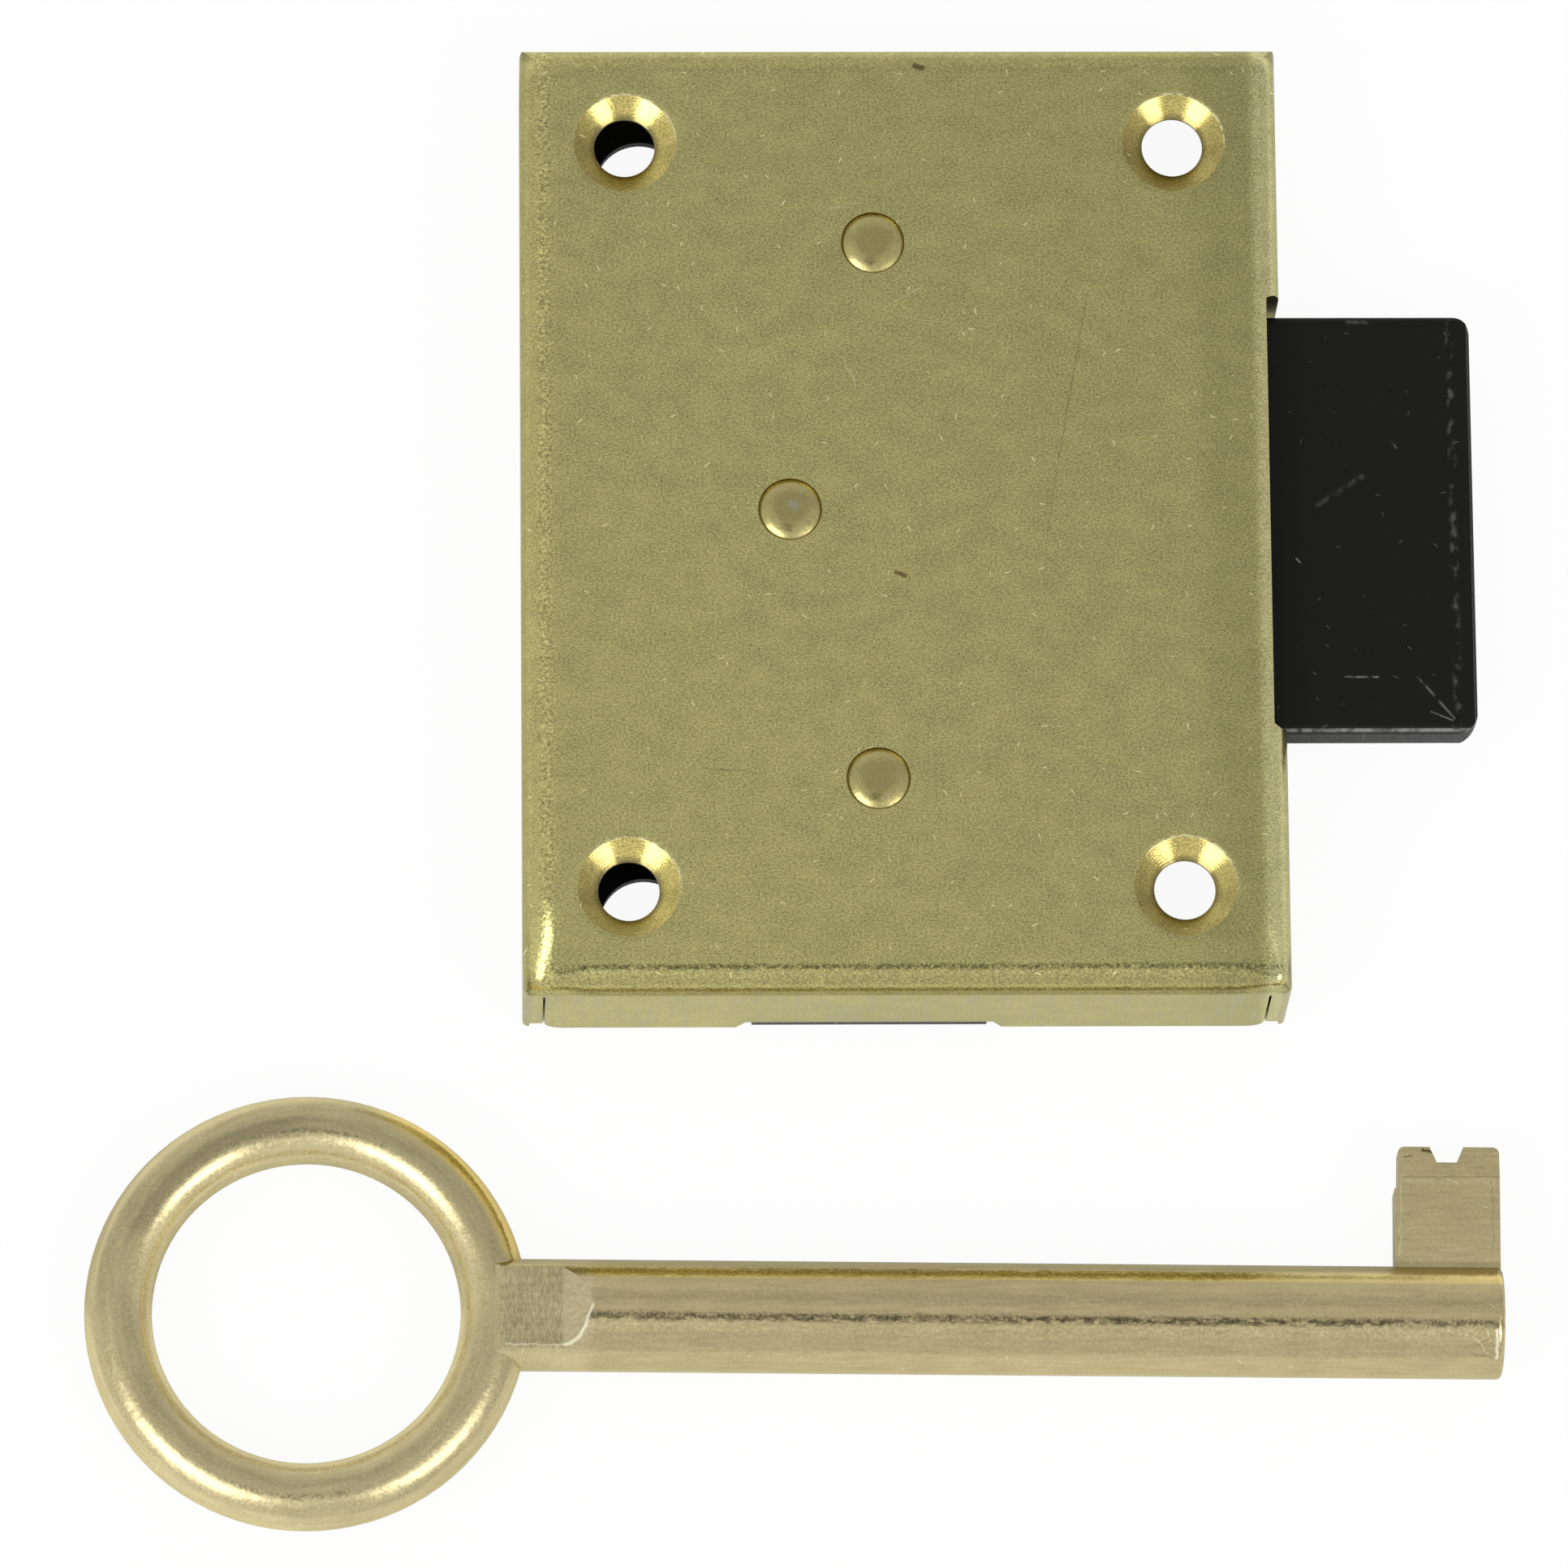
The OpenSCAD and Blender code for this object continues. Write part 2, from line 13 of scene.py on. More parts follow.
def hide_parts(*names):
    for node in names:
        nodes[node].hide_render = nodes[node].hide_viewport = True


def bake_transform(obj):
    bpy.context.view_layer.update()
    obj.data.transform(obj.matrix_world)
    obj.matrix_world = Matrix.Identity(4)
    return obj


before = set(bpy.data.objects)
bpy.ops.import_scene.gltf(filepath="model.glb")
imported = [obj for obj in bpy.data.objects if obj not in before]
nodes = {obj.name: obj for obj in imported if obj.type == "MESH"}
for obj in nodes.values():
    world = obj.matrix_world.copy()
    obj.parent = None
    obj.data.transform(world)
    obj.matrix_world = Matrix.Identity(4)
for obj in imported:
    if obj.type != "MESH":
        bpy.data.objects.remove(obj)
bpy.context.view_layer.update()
print("pieces:", ", ".join(sorted(nodes)))

# %% [markdown]
# ## The camera
# The lock lies on its back, with its face up. The lens looks down on it from its lower side and a little from the
# left. A long lens gives the flat look of a catalogue picture. The camera could be aimed with a Track To constraint,
# but here its three axes are worked out from three angles, because the picture also leans.

# %% Camera
MM = 0.001
LOOK_AT = Vector((-0.301, -15.912, 0.0)) * MM
LOOK_FROM = 877.85 * MM
RISE, ROUND, LEAN = math.radians(74.483), math.radians(-5.566), math.radians(5.234)

back = Vector((math.sin(ROUND) * math.cos(RISE), -math.cos(ROUND) * math.cos(RISE), math.sin(RISE)))
level = Vector((math.cos(ROUND), math.sin(ROUND), 0))
right = level * math.cos(LEAN) + back.cross(level) * math.sin(LEAN)
up = back.cross(right)
camera_data = bpy.data.cameras.new("catalogue_lens")
camera_data.lens, camera_data.sensor_width = 305.92, 36.0
camera_data.clip_start, camera_data.clip_end = 0.05, 20.0
camera = bpy.data.objects.new("catalogue_camera", camera_data)
turn = Matrix((right, up, back)).transposed()
camera.matrix_world = Matrix.Translation(LOOK_AT + back * LOOK_FROM) @ turn.to_4x4()
bpy.context.scene.collection.objects.link(camera)
bpy.context.scene.camera = camera
bpy.context.scene.view_settings.view_transform = "Standard"
print("camera at", [round(v, 3) for v in camera.matrix_world.translation])

# %% [markdown]
# ## Helpers for node trees
# Blender builds a material from nodes and links. Written out in full, that takes three lines for each node.
# The helper `put` adds one node, sets its options and then feeds its inputs: a plain number goes into the
# socket, and a socket of another node is linked to it. The others are short names for nodes used often.
# A `ramp` goes smoothly from 0 to 1 between two limits, or from one value to another where four numbers are given,
# and `within` is 1 between two ramps. `layered` paints colours over each other through masks, and `dimmed` takes
# a share of a shade away where a mask is 1.


# %% Node helpers
def put(tree, kind, feeds=(), **options):
    node = tree.nodes.new(kind)
    for key, value in options.items():
        setattr(node, key, value)
    for key, value in dict(feeds).items():
        if isinstance(value, bpy.types.NodeSocket):
            tree.links.new(value, node.inputs[key])
        else:
            node.inputs[key].default_value = value
    return node


def math_of(tree, operation, a, b=0.0, clamp=False):
    return put(tree, "ShaderNodeMath", {0: a, 1: b}, operation=operation, use_clamp=clamp).outputs[0]


def times(tree, first, *others):
    for other in others:
        first = math_of(tree, "MULTIPLY", first, other)
    return first


def plus(tree, first, *others):
    for other in others:
        first = math_of(tree, "ADD", first, other)
    return first


def minus(tree, a, b):
    return math_of(tree, "SUBTRACT", a, b)


def larger(tree, a, b):
    return math_of(tree, "MAXIMUM", a, b)


def apart(tree, value, middle):
    return math_of(tree, "ABSOLUTE", minus(tree, value, middle))


def squares(tree, a, b):
    return plus(tree, times(tree, a, a), times(tree, b, b))


print("number helpers ready")


# %% Vector helpers
def vector_of(tree, operation, a, b=(0, 0, 0)):
    return put(tree, "ShaderNodeVectorMath", {0: a, 1: b}, operation=operation).outputs[0]


def value_of(tree, operation, a, b=(0, 0, 0)):
    return put(tree, "ShaderNodeVectorMath", {0: a, 1: b}, operation=operation).outputs["Value"]


def dot_of(tree, a, b):
    return value_of(tree, "DOT_PRODUCT", a, b)


def scale_of(tree, vector, share):
    return put(tree, "ShaderNodeVectorMath", {0: vector, "Scale": share}, operation="SCALE").outputs[0]


def stretched(tree, vector, shares):
    return vector_of(tree, "MULTIPLY", vector, shares)


def split(tree, vector):
    return put(tree, "ShaderNodeSeparateXYZ", {0: vector}).outputs


def joined(tree, **axes):
    return put(tree, "ShaderNodeCombineXYZ", axes).outputs[0]


print("vector helpers ready")


# %% Tone helpers
def ramp(tree, value, low, high, to_low=0.0, to_high=1.0):
    feeds = {"Value": value, "From Min": low, "From Max": high, "To Min": to_low, "To Max": to_high}
    return put(tree, "ShaderNodeMapRange", feeds, interpolation_type="SMOOTHSTEP").outputs[0]


def within(tree, value, rise, fall):
    return times(tree, ramp(tree, value, *rise), ramp(tree, value, *fall))


def blend_of(tree, factor, a, b):
    a, b = ((*c, 1.0) if isinstance(c, tuple) else c for c in (a, b))
    return put(tree, "ShaderNodeMix", {0: factor, 6: a, 7: b}, data_type="RGBA").outputs[2]


def layered(tree, tone, layers):
    for mask, share, colour in layers:
        tone = blend_of(tree, times(tree, mask, share), tone, colour)
    return tone


def dimmed(tree, shade, losses):
    for mask, share in losses:
        shade = times(tree, shade, minus(tree, 1.0, times(tree, mask, share)))
    return shade


def noise_of(tree, place, per_mm, detail=2.0):
    return put(tree, "ShaderNodeTexNoise", {"Vector": place, "Scale": per_mm, "Detail": detail}).outputs["Fac"]


print("tone helpers ready")

# %% [markdown]
# ## The studio
# Catalogue pictures are taken on white, with two soft boxes in front of the object and a pale tent round it.
# The floor could be lit until it turns white, but that would bleach the brass. So the floor answers camera rays with
# white, and metal sees a part of that white too, less of it between the key and the lock. The rest is the floor's own
# shading, which holds the shadows. Under the lock it stays dark, as no light gets in there, except below the screw
# holes.

# %% Floor
REACH, DROP = 4.0, 0.05 * MM
floor_mesh = bpy.data.meshes.new("floor")
corners = [(-REACH, -REACH, 0), (REACH, -REACH, 0), (REACH, REACH, 0), (-REACH, REACH, 0)]
floor_mesh.from_pydata(corners, [], [(0, 1, 2, 3)])
floor = bpy.data.objects.new("floor", floor_mesh)
floor.location.z = -DROP
bpy.context.scene.collection.objects.link(floor)
print("floor", 2 * REACH, "m wide")

# %% Places on the lock
CASE_MID, CASE_HALF, SCREW_HALF = (7.4, -0.2), (25.0, 32.25), (18.1, 25.4)


def millimetres(tree):
    return scale_of(tree, put(tree, "ShaderNodeTexCoord").outputs["Object"], 1 / MM)


def from_middle(tree, place):
    at = split(tree, place)
    return at, [apart(tree, at[axis], CASE_MID[i]) for i, axis in enumerate("XY")]


def from_screw(tree, away):
    return math_of(tree, "SQRT", squares(tree, *(minus(tree, away[i], SCREW_HALF[i]) for i in (0, 1))))


print("case", [2 * v for v in CASE_HALF], "mm, screws", [2 * v for v in SCREW_HALF], "mm apart")

# %% Floor paint
UNDER_LOCK, BELOW_HOLE = ((24.5, 24.8), (31.7, 32.0)), (7.0, 6.0)
KEY_TO_LOCK = (-52.0, -50.0), (-36.0, -38.5)
SEEN, MIRRORED, SHADED = 0.94, 0.4, 0.35
floor_paint = bpy.data.materials.new("floor_white")
floor_paint.use_nodes = True
tree = floor_paint.node_tree
tree.nodes.clear()
at, away = from_middle(tree, millimetres(tree))
open_floor = larger(tree, *(ramp(tree, away[i], *UNDER_LOCK[i]) for i in (0, 1)))
open_floor = larger(tree, open_floor, ramp(tree, from_screw(tree, away), *BELOW_HOLE))
ray = put(tree, "ShaderNodeLightPath").outputs
metal_ray = ray["Is Glossy Ray"]
# painted shadow: for metal rays the floor between the key and the lock is darker
lit = minus(tree, 1.0, times(tree, within(tree, at["Y"], *KEY_TO_LOCK), metal_ray, SHADED))
share = larger(tree, times(tree, ray["Is Camera Ray"], SEEN), times(tree, metal_ray, MIRRORED, lit))
matt = put(tree, "ShaderNodeBsdfDiffuse", {"Color": scale_of(tree, (0.9, 0.9, 0.9), lit)})
white = put(tree, "ShaderNodeEmission", {"Color": (1, 1, 1, 1), "Strength": 1.0})
mixed = {0: times(tree, share, open_floor), 1: matt.outputs[0], 2: white.outputs[0]}
put(tree, "ShaderNodeOutputMaterial", {"Surface": put(tree, "ShaderNodeMixShader", mixed).outputs[0]})
floor_mesh.materials.append(floor_paint)
print("floor paint", len(tree.nodes), "nodes")

# %% [markdown]
# ### The tent and the soft boxes
# Polished metal shows its surroundings more than its own colour, so the tent matters as much as the brass. It is pale
# all round, a little dimmer behind and to the right. In front is the round opening that the lens looks through, which
# darkens the key's crown and the lower fold. The soft boxes are two square lamps.

# %% World
OPENING = Vector((-0.04, -0.215, 0.976)).normalized()
OPENING_EDGE, OPENING_LOSS = (0.985, 0.9962), 0.9
FRONT_TO_BACK, FRONT, BACK = (-0.35, 0.1), 0.74, 0.66
DIM_AT, DIM_EDGE, DIM_BY = 0.48, (0.3, 0.05), 0.13
SIDE_TO_SIDE, LEFT, RIGHT = (-0.7, 0.7), 1.12, 0.98
world = bpy.data.worlds.new("pale_tent")
bpy.context.scene.world = world
world.use_nodes = True
tree = world.node_tree
tree.nodes.clear()
way = put(tree, "ShaderNodeTexCoord").outputs["Generated"]
axes = split(tree, way)
tent = ramp(tree, axes["Y"], *FRONT_TO_BACK, FRONT, BACK)
tent = minus(tree, tent, ramp(tree, apart(tree, axes["Y"], DIM_AT), *DIM_EDGE, 0.0, DIM_BY))
tent = times(tree, tent, ramp(tree, axes["X"], *SIDE_TO_SIDE, LEFT, RIGHT))
tent = dimmed(tree, tent, [(ramp(tree, dot_of(tree, way, tuple(OPENING)), *OPENING_EDGE), OPENING_LOSS)])
sky = put(tree, "ShaderNodeBackground", {"Color": (1, 1, 1, 1), "Strength": tent})
put(tree, "ShaderNodeOutputWorld", {"Surface": sky.outputs[0]})
print("world", world.name)


# %% Soft boxes
def soft_box(name, way, away, wide, radiance):
    lamp = bpy.data.lights.new(name, "AREA")
    lamp.shape, lamp.size = "SQUARE", wide
    lamp.energy = math.pi * radiance * wide * wide
    box = bpy.data.objects.new(name, lamp)
    way = Vector(way).normalized()
    box.matrix_world = Matrix.Translation(way * away) @ way.to_track_quat("Z", "Y").to_matrix().to_4x4()
    bpy.context.scene.collection.objects.link(box)
    return box


lamps = [
    soft_box("soft_box_left", way=(-0.51, -0.48, 0.71), away=1.0, wide=0.54, radiance=3.3),
    soft_box("soft_box_right", way=(0.53, -0.51, 0.69), away=1.0, wide=0.47, radiance=3.2),
]
print("lamps", [lamp.name for lamp in lamps])

# %% [markdown]
# ## Effects that several finishes share
# Plated sheet, turned rivets and a cast key all show a fine grain, small bright specks and hairline scratches.
# Each effect is built once as a node group, with its own inputs and outputs, and every finish then uses it
# with other values. All of them work in millimetres on the piece's own coordinates, so the marks stay on the
# metal when a piece moves.


# %% Group builder
def effect(name, inputs, outputs):
    tree = bpy.data.node_groups.new(name, "ShaderNodeTree")
    for label, kind, start in inputs:
        socket = tree.interface.new_socket(label, in_out="INPUT", socket_type="NodeSocket" + kind)
        if start is not None:
            socket.default_value = start
    for label, kind in outputs:
        tree.interface.new_socket(label, in_out="OUTPUT", socket_type="NodeSocket" + kind)
    return tree, put(tree, "NodeGroupInput").outputs, put(tree, "NodeGroupOutput")


def use(tree, group, **feeds):
    named = {key.replace("_", " "): value for key, value in feeds.items()}
    return put(tree, "ShaderNodeGroup", named, node_tree=group).outputs


print("group builder ready")

# %% [markdown]
# ### Satin grain
# Rolled and plated sheet is never even: under a lens it is a cloud of tiny lighter and darker patches. One noise
# gives the grain and a second, some ten times larger, gives the clouds. The same grain also gives the bump.

# %% Satin grain group
CLOUD_TO_GRAIN = 0.08
tree, given, out = effect(
    "satin_grain",
    [("Place", "Vector", None), ("Grain mm", "Float", 0.12), ("Contrast", "Float", 0.1), ("Cloud", "Float", 0.08)],
    [("Shade", "Float"), ("Height", "Float")],
)
per_mm = math_of(tree, "DIVIDE", 1.0, given["Grain mm"])
fine = noise_of(tree, given["Place"], per_mm)
cloud = noise_of(tree, given["Place"], times(tree, per_mm, CLOUD_TO_GRAIN), 3.0)
swings = [times(tree, minus(tree, noise, 0.5), times(tree, given[label], 2.0))
          for noise, label in ((fine, "Contrast"), (cloud, "Cloud"))]
tree.links.new(plus(tree, *swings, 1.0), out.inputs["Shade"])
tree.links.new(fine, out.inputs["Height"])
satin_grain = tree
print("group", tree.name, len(tree.nodes), "nodes")

# %% [markdown]
# ### Specks and nicks
# Handling leaves short bright nicks in every direction. A Voronoi texture scatters one point in each cell. A cell
# keeps its nick only if its random colour is under a limit, and the nick is drawn by squeezing the distance along
# a direction that also comes from the cell. That is cheaper than placing hundreds of nicks by hand.

# %% Nick group
SHORTEST, FAINTEST = 0.3, 0.1
tree, given, out = effect(
    "nicks",
    [("Place", "Vector", None), ("Spacing mm", "Float", 1.5), ("Length mm", "Float", 0.22),
     ("Width mm", "Float", 0.05), ("Share", "Float", 0.5)],
    [("Mask", "Float")],
)
per_mm = math_of(tree, "DIVIDE", 1.0, given["Spacing mm"])
cells = put(tree, "ShaderNodeTexVoronoi", {"Vector": given["Place"], "Scale": per_mm}).outputs
chance = put(tree, "ShaderNodeSeparateColor", {0: cells["Color"]}).outputs
near = vector_of(tree, "SUBTRACT", given["Place"], cells["Position"])
angle = times(tree, chance["Red"], math.tau)
spun = put(tree, "ShaderNodeVectorRotate", {"Vector": near, "Angle": angle}, rotation_type="Z_AXIS").outputs[0]
side = split(tree, spun)
reach = times(tree, given["Length mm"], plus(tree, chance["Blue"], SHORTEST))
along = math_of(tree, "DIVIDE", side["X"], reach)
across = math_of(tree, "DIVIDE", side["Y"], given["Width mm"])
spot = ramp(tree, squares(tree, along, across), 1.0, 0.3)
kept = math_of(tree, "LESS_THAN", chance["Green"], given["Share"])
weight = times(tree, kept, math_of(tree, "ADD", chance["Blue"], FAINTEST, clamp=True))
tree.links.new(times(tree, spot, weight), out.inputs["Mask"])
nicks = tree
print("group", tree.name, len(tree.nodes), "nodes")

# %% [markdown]
# ### One scratch or one stain
# A single mark that can be pointed at, such as a long hairline or a rust fleck, is worth its own place. The scratch
# group measures the distance to a line between two points, seen from above, and frays it with a noise. With both
# points close together it draws a spot.

# %% Scratch group
FRAY_PER_MM, SHORTEST_SQUARED = 6.0, 0.0001
tree, given, out = effect(
    "scratch",
    [("Place", "Vector", None), ("Start", "Vector", None), ("End", "Vector", None), ("Width mm", "Float", 0.08)],
    [("Mask", "Float")],
)
flat = stretched(tree, given["Place"], (1, 1, 0))
run = vector_of(tree, "SUBTRACT", given["End"], given["Start"])
gone = vector_of(tree, "SUBTRACT", flat, given["Start"])
run_squared = larger(tree, dot_of(tree, run, run), SHORTEST_SQUARED)
part = math_of(tree, "DIVIDE", dot_of(tree, gone, run), run_squared, clamp=True)
gap = value_of(tree, "DISTANCE", gone, scale_of(tree, run, part))
gap = times(tree, gap, plus(tree, noise_of(tree, given["Place"], FRAY_PER_MM), 0.5))
tree.links.new(ramp(tree, math_of(tree, "DIVIDE", gap, given["Width mm"]), 1.0, 0.2), out.inputs["Mask"])
scratch = tree
print("group", tree.name, len(tree.nodes), "nodes")

# %% [markdown]
# ### Rolled edge
# A folded sheet has no sharp corner: its folds run into each other in a ball. The solids have round folds that meet
# in a mitre. The ball could be modelled, but light only needs its normals. This group works out the normal of a
# block with rounded edges at each place, and gives it wherever it is close to the real one.

# %% Rolled edge group
CLOSE_ENOUGH = (0.5, 0.62)
tree, given, out = effect(
    "rolled_edge",
    [("Place", "Vector", None), ("Surface", "Vector", None), ("Middle", "Vector", None), ("Half", "Vector", None),
     ("Radius mm", "Float", 2.0), ("Share", "Float", 1.0)],
    [("Normal", "Vector")],
)
off = vector_of(tree, "SUBTRACT", given["Place"], given["Middle"])
core = vector_of(tree, "SUBTRACT", given["Half"], joined(tree, **dict.fromkeys("XYZ", given["Radius mm"])))
over = vector_of(tree, "SUBTRACT", vector_of(tree, "ABSOLUTE", off), core)
over = vector_of(tree, "MAXIMUM", over, (0, 0, 0))
ball = vector_of(tree, "NORMALIZE", stretched(tree, over, vector_of(tree, "SIGN", off)))
ball = put(tree, "ShaderNodeVectorTransform", {0: ball}, vector_type="NORMAL", convert_from="OBJECT",
           convert_to="WORLD").outputs[0]
close = times(tree, ramp(tree, dot_of(tree, ball, given["Surface"]), *CLOSE_ENOUGH), given["Share"])
change = scale_of(tree, vector_of(tree, "SUBTRACT", ball, given["Surface"]), close)
tree.links.new(vector_of(tree, "NORMALIZE", vector_of(tree, "ADD", given["Surface"], change)), out.inputs["Normal"])
rolled_edge = tree
print("group", tree.name, len(tree.nodes), "nodes")

# %% [markdown]
# ### Finish builder
# Every finish here is one Principled BSDF. What stays the same all over, such as a plain metalness, is set on the
# shader's own sockets. Colour, roughness and bump come from the groups. Heights are real ones, in millimetres.
# Single marks sway a little with a noise, so that none is a ruled line.

# %% Finish builder
SWAY_PER_MM, SWAY_MM = 1.6, 0.4


def finish_of(name, metallic, specular=0.5, edge=(1.0, 1.0, 1.0)):
    paint = bpy.data.materials.new(name)
    paint.use_nodes = True
    tree = paint.node_tree
    tree.nodes.clear()
    feeds = {"Metallic": metallic, "Specular IOR Level": specular, "Specular Tint": (*edge, 1.0)}
    shader = put(tree, "ShaderNodeBsdfPrincipled", feeds)
    put(tree, "ShaderNodeOutputMaterial", {"Surface": shader.outputs[0]})
    return paint, tree, shader


def dress(tree, shader, tone, roughness, height_mm, normal=None):
    feeds = {"Height": height_mm, "Strength": 1.0, "Distance": MM}
    if normal is not None:
        feeds["Normal"] = normal
    bump = put(tree, "ShaderNodeBump", feeds).outputs[0]
    for label, source in (("Base Color", tone), ("Roughness", roughness), ("Normal", bump)):
        tree.links.new(source, shader.inputs[label])


def marked(tree, place, tone, marks):
    sway = minus(tree, noise_of(tree, place, SWAY_PER_MM, 3.0), 0.5)
    place = vector_of(tree, "ADD", place, times(tree, sway, SWAY_MM))
    for start, end, width, share, colour in marks:
        mark = use(tree, scratch, Place=place, Start=(*start, 0), End=(*end, 0), Width_mm=width)["Mask"]
        tone = layered(tree, tone, [(mark, share, colour)])
    return tone


def wear(paint, *pieces):
    for piece in pieces:
        mesh = nodes[piece].data
        mesh.materials.clear()
        mesh.materials.append(paint)
    print("finish", paint.name, len(paint.node_tree.nodes), "nodes, on", ", ".join(pieces))


print("finish builder ready")

# %% [markdown]
# ## The case
# The case is sheet steel with a thin brass plate, folded after rolling. Its face has an even satin grain. The sheet is
# stretched at the folds, so it is shinier there and dimpled like an orange, and the countersinks are bright and carry
# turning rings. Masks that follow the folds and the holes tell these zones apart. Their limits are millimetres in the
# lock's own frame.

# %% Case zones
BRASS_EDGE = (0.92, 0.9, 0.75)
FOLD_FROM, FOLD_FULL, WALL_TOP = 2.0, 1.2, (8.6, 8.0)
LEFT_FOLD = (-15.3, -15.8), (-16.7, -16.2)
LOW_FOLD = (-30.5, -31.0), (-32.4, -31.9)
DARK_LINE_Y, DARK_LINE_HALF, DARK_LINE_START = -30.95, (0.34, 0.04), (-15.5, -14.5)
brassed_sheet, tree, shader = finish_of("brassed_sheet", 1.0, edge=BRASS_EDGE)
place = millimetres(tree)
at, away = from_middle(tree, place)
fold_x, fold_y = (ramp(tree, away[i], CASE_HALF[i] - FOLD_FROM, CASE_HALF[i] - FOLD_FULL) for i in (0, 1))
fold = larger(tree, fold_x, fold_y)
wall = ramp(tree, at["Z"], *WALL_TOP)
low_peel = times(tree, within(tree, at["Y"], *LOW_FOLD), 0.28)
peeled = larger(tree, within(tree, at["X"], *LEFT_FOLD), low_peel)
# painted reflection: a dark line along the start of the lower fold
painted_dark_line = ramp(tree, apart(tree, at["Y"], DARK_LINE_Y), *DARK_LINE_HALF)
painted_dark_line = times(tree, painted_dark_line, ramp(tree, at["X"], *DARK_LINE_START))
print("fold zones", len(tree.nodes), "nodes")

# %% Hole zones
PILLAR_X, PILLAR_Y = 5.6, 18.3
SINK_EDGE, GLINT_R, GLINT_HALF = (3.38, 3.28), 3.4, (0.1, 0.02)
SHADED_WAY, SHADED_TURN = (-0.8, -0.6, 0), (-0.3, 0.8)
GLINT_WAY, GLINT_TURN, GLINT_PER_MM, GLINT_BREAKS = (0.5, 0.87, 0), (0.1, 0.8), 2.2, (0.35, 0.6)


def from_rivet(tree, at):
    to_pillar = minus(tree, at["X"], PILLAR_X), minus(tree, math_of(tree, "ABSOLUTE", at["Y"]), PILLAR_Y)
    gaps = squares(tree, *to_pillar), squares(tree, at["X"], at["Y"])
    return math_of(tree, "SQRT", math_of(tree, "MINIMUM", *gaps))


hole_r = from_screw(tree, away)
countersunk = ramp(tree, hole_r, *SINK_EDGE)
across = []
for i, axis in enumerate("XY"):
    side = math_of(tree, "SIGN", minus(tree, at[axis], CASE_MID[i]))
    out_by = times(tree, minus(tree, away[i], SCREW_HALF[i]), side)
    across.append(math_of(tree, "DIVIDE", out_by, hole_r))
from_hole = joined(tree, X=across[0], Y=across[1])
shaded_side = times(tree, ramp(tree, dot_of(tree, from_hole, SHADED_WAY), *SHADED_TURN), countersunk)
# painted highlight: a bright broken arc on the upper right of each countersink's rounded rim
painted_rim_glint = times(tree, ramp(tree, apart(tree, hole_r, GLINT_R), *GLINT_HALF),
             ramp(tree, dot_of(tree, from_hole, GLINT_WAY), *GLINT_TURN),
             ramp(tree, noise_of(tree, place, GLINT_PER_MM), *GLINT_BREAKS))
print("hole zones", len(tree.nodes), "nodes")

# %% Case tone
FACE_TONE, PAINTED_FOLD_LIGHT = (0.488, 0.447, 0.184), (0.63, 0.565, 0.225)
PAINTED_BOLT_FOLD_LIGHT, SINK_TONE = (0.68, 0.635, 0.31), (0.65, 0.54, 0.18)
BOLT_SIDE = (0.0, 10.0)
rolled = stretched(tree, place, (0.7, 1.0, 1.0))
grain = use(tree, satin_grain, Place=rolled, Grain_mm=0.11, Contrast=0.85, Cloud=0.18)
bolt_fold = times(tree, fold_x, ramp(tree, at["X"], *BOLT_SIDE))
# painted light: the folds are coloured lighter than the face, the fold on the bolt side most
tone = layered(tree, FACE_TONE, [(fold_x, 0.4, PAINTED_FOLD_LIGHT), (bolt_fold, 1.0, PAINTED_BOLT_FOLD_LIGHT),
                                 (countersunk, 1.0, SINK_TONE)])
print("case tone", len(tree.nodes), "nodes")

# %% Case painted light and dimples
PEEL_PER_MM, PEEL_SHADE, DOTS = 4.5, 2.2, (0.56, 0.44, 0.05, 0.45)
SHADE_BAND = (25.5, 28.5), (30.9, 30.2)
OUTER_X = CASE_HALF[0] - 0.7, CASE_HALF[0] - 0.2
FLAP_X = CASE_HALF[0] - 1.5, CASE_HALF[0] - 1.2
LOW_FOLD_SHADE, LOW_EDGE_Y, LOW_EDGE_Z = (-30.9, -31.3, 1.0, 0.9), (-31.9, -32.2), (8.5, 8.9)
ACROSS_FACE, UP_FACE = (-18.0, 34.0, 1.03, 0.95), (-34.0, 34.0, 1.04, 0.96)
peel = noise_of(tree, place, PEEL_PER_MM, 3.0)
dotted = times(tree, painted_dark_line, ramp(tree, peel, *DOTS))
outer = ramp(tree, away[0], *OUTER_X)
flap = times(tree, ramp(tree, away[0], *FLAP_X), wall)
low_edge = times(tree, ramp(tree, at["Y"], *LOW_EDGE_Y), ramp(tree, at["Z"], *LOW_EDGE_Z))
low_fold = plus(tree, ramp(tree, at["Y"], *LOW_FOLD_SHADE), times(tree, low_edge, 0.35))
dimples = plus(tree, times(tree, minus(tree, peel, 0.5), PEEL_SHADE, peeled), 1.0)
# painted light: the face is lighter towards the left and the bottom, and the lower fold is darker with a lighter outer
# edge; the dimples are the sheet's own orange peel
painted_light_and_dimples = times(tree, ramp(tree, at["X"], *ACROSS_FACE), ramp(tree, at["Y"], *UP_FACE), dimples, low_fold)
# painted shade: darker just inside the right fold, on the lower-left flank of each countersink, along the dotted dark
# line of the lower fold, and at the outer edges; the side walls are a little darker
painted_light_and_dimples = dimmed(tree, painted_light_and_dimples, [(within(tree, at["X"], *SHADE_BAND), 0.12), (shaded_side, 0.38), (dotted, 1.0),
                                 (outer, 0.28), (flap, 0.1)])
tone = scale_of(tree, tone, times(tree, grain["Shade"], painted_light_and_dimples))
print("case tarnish", len(tree.nodes), "nodes")

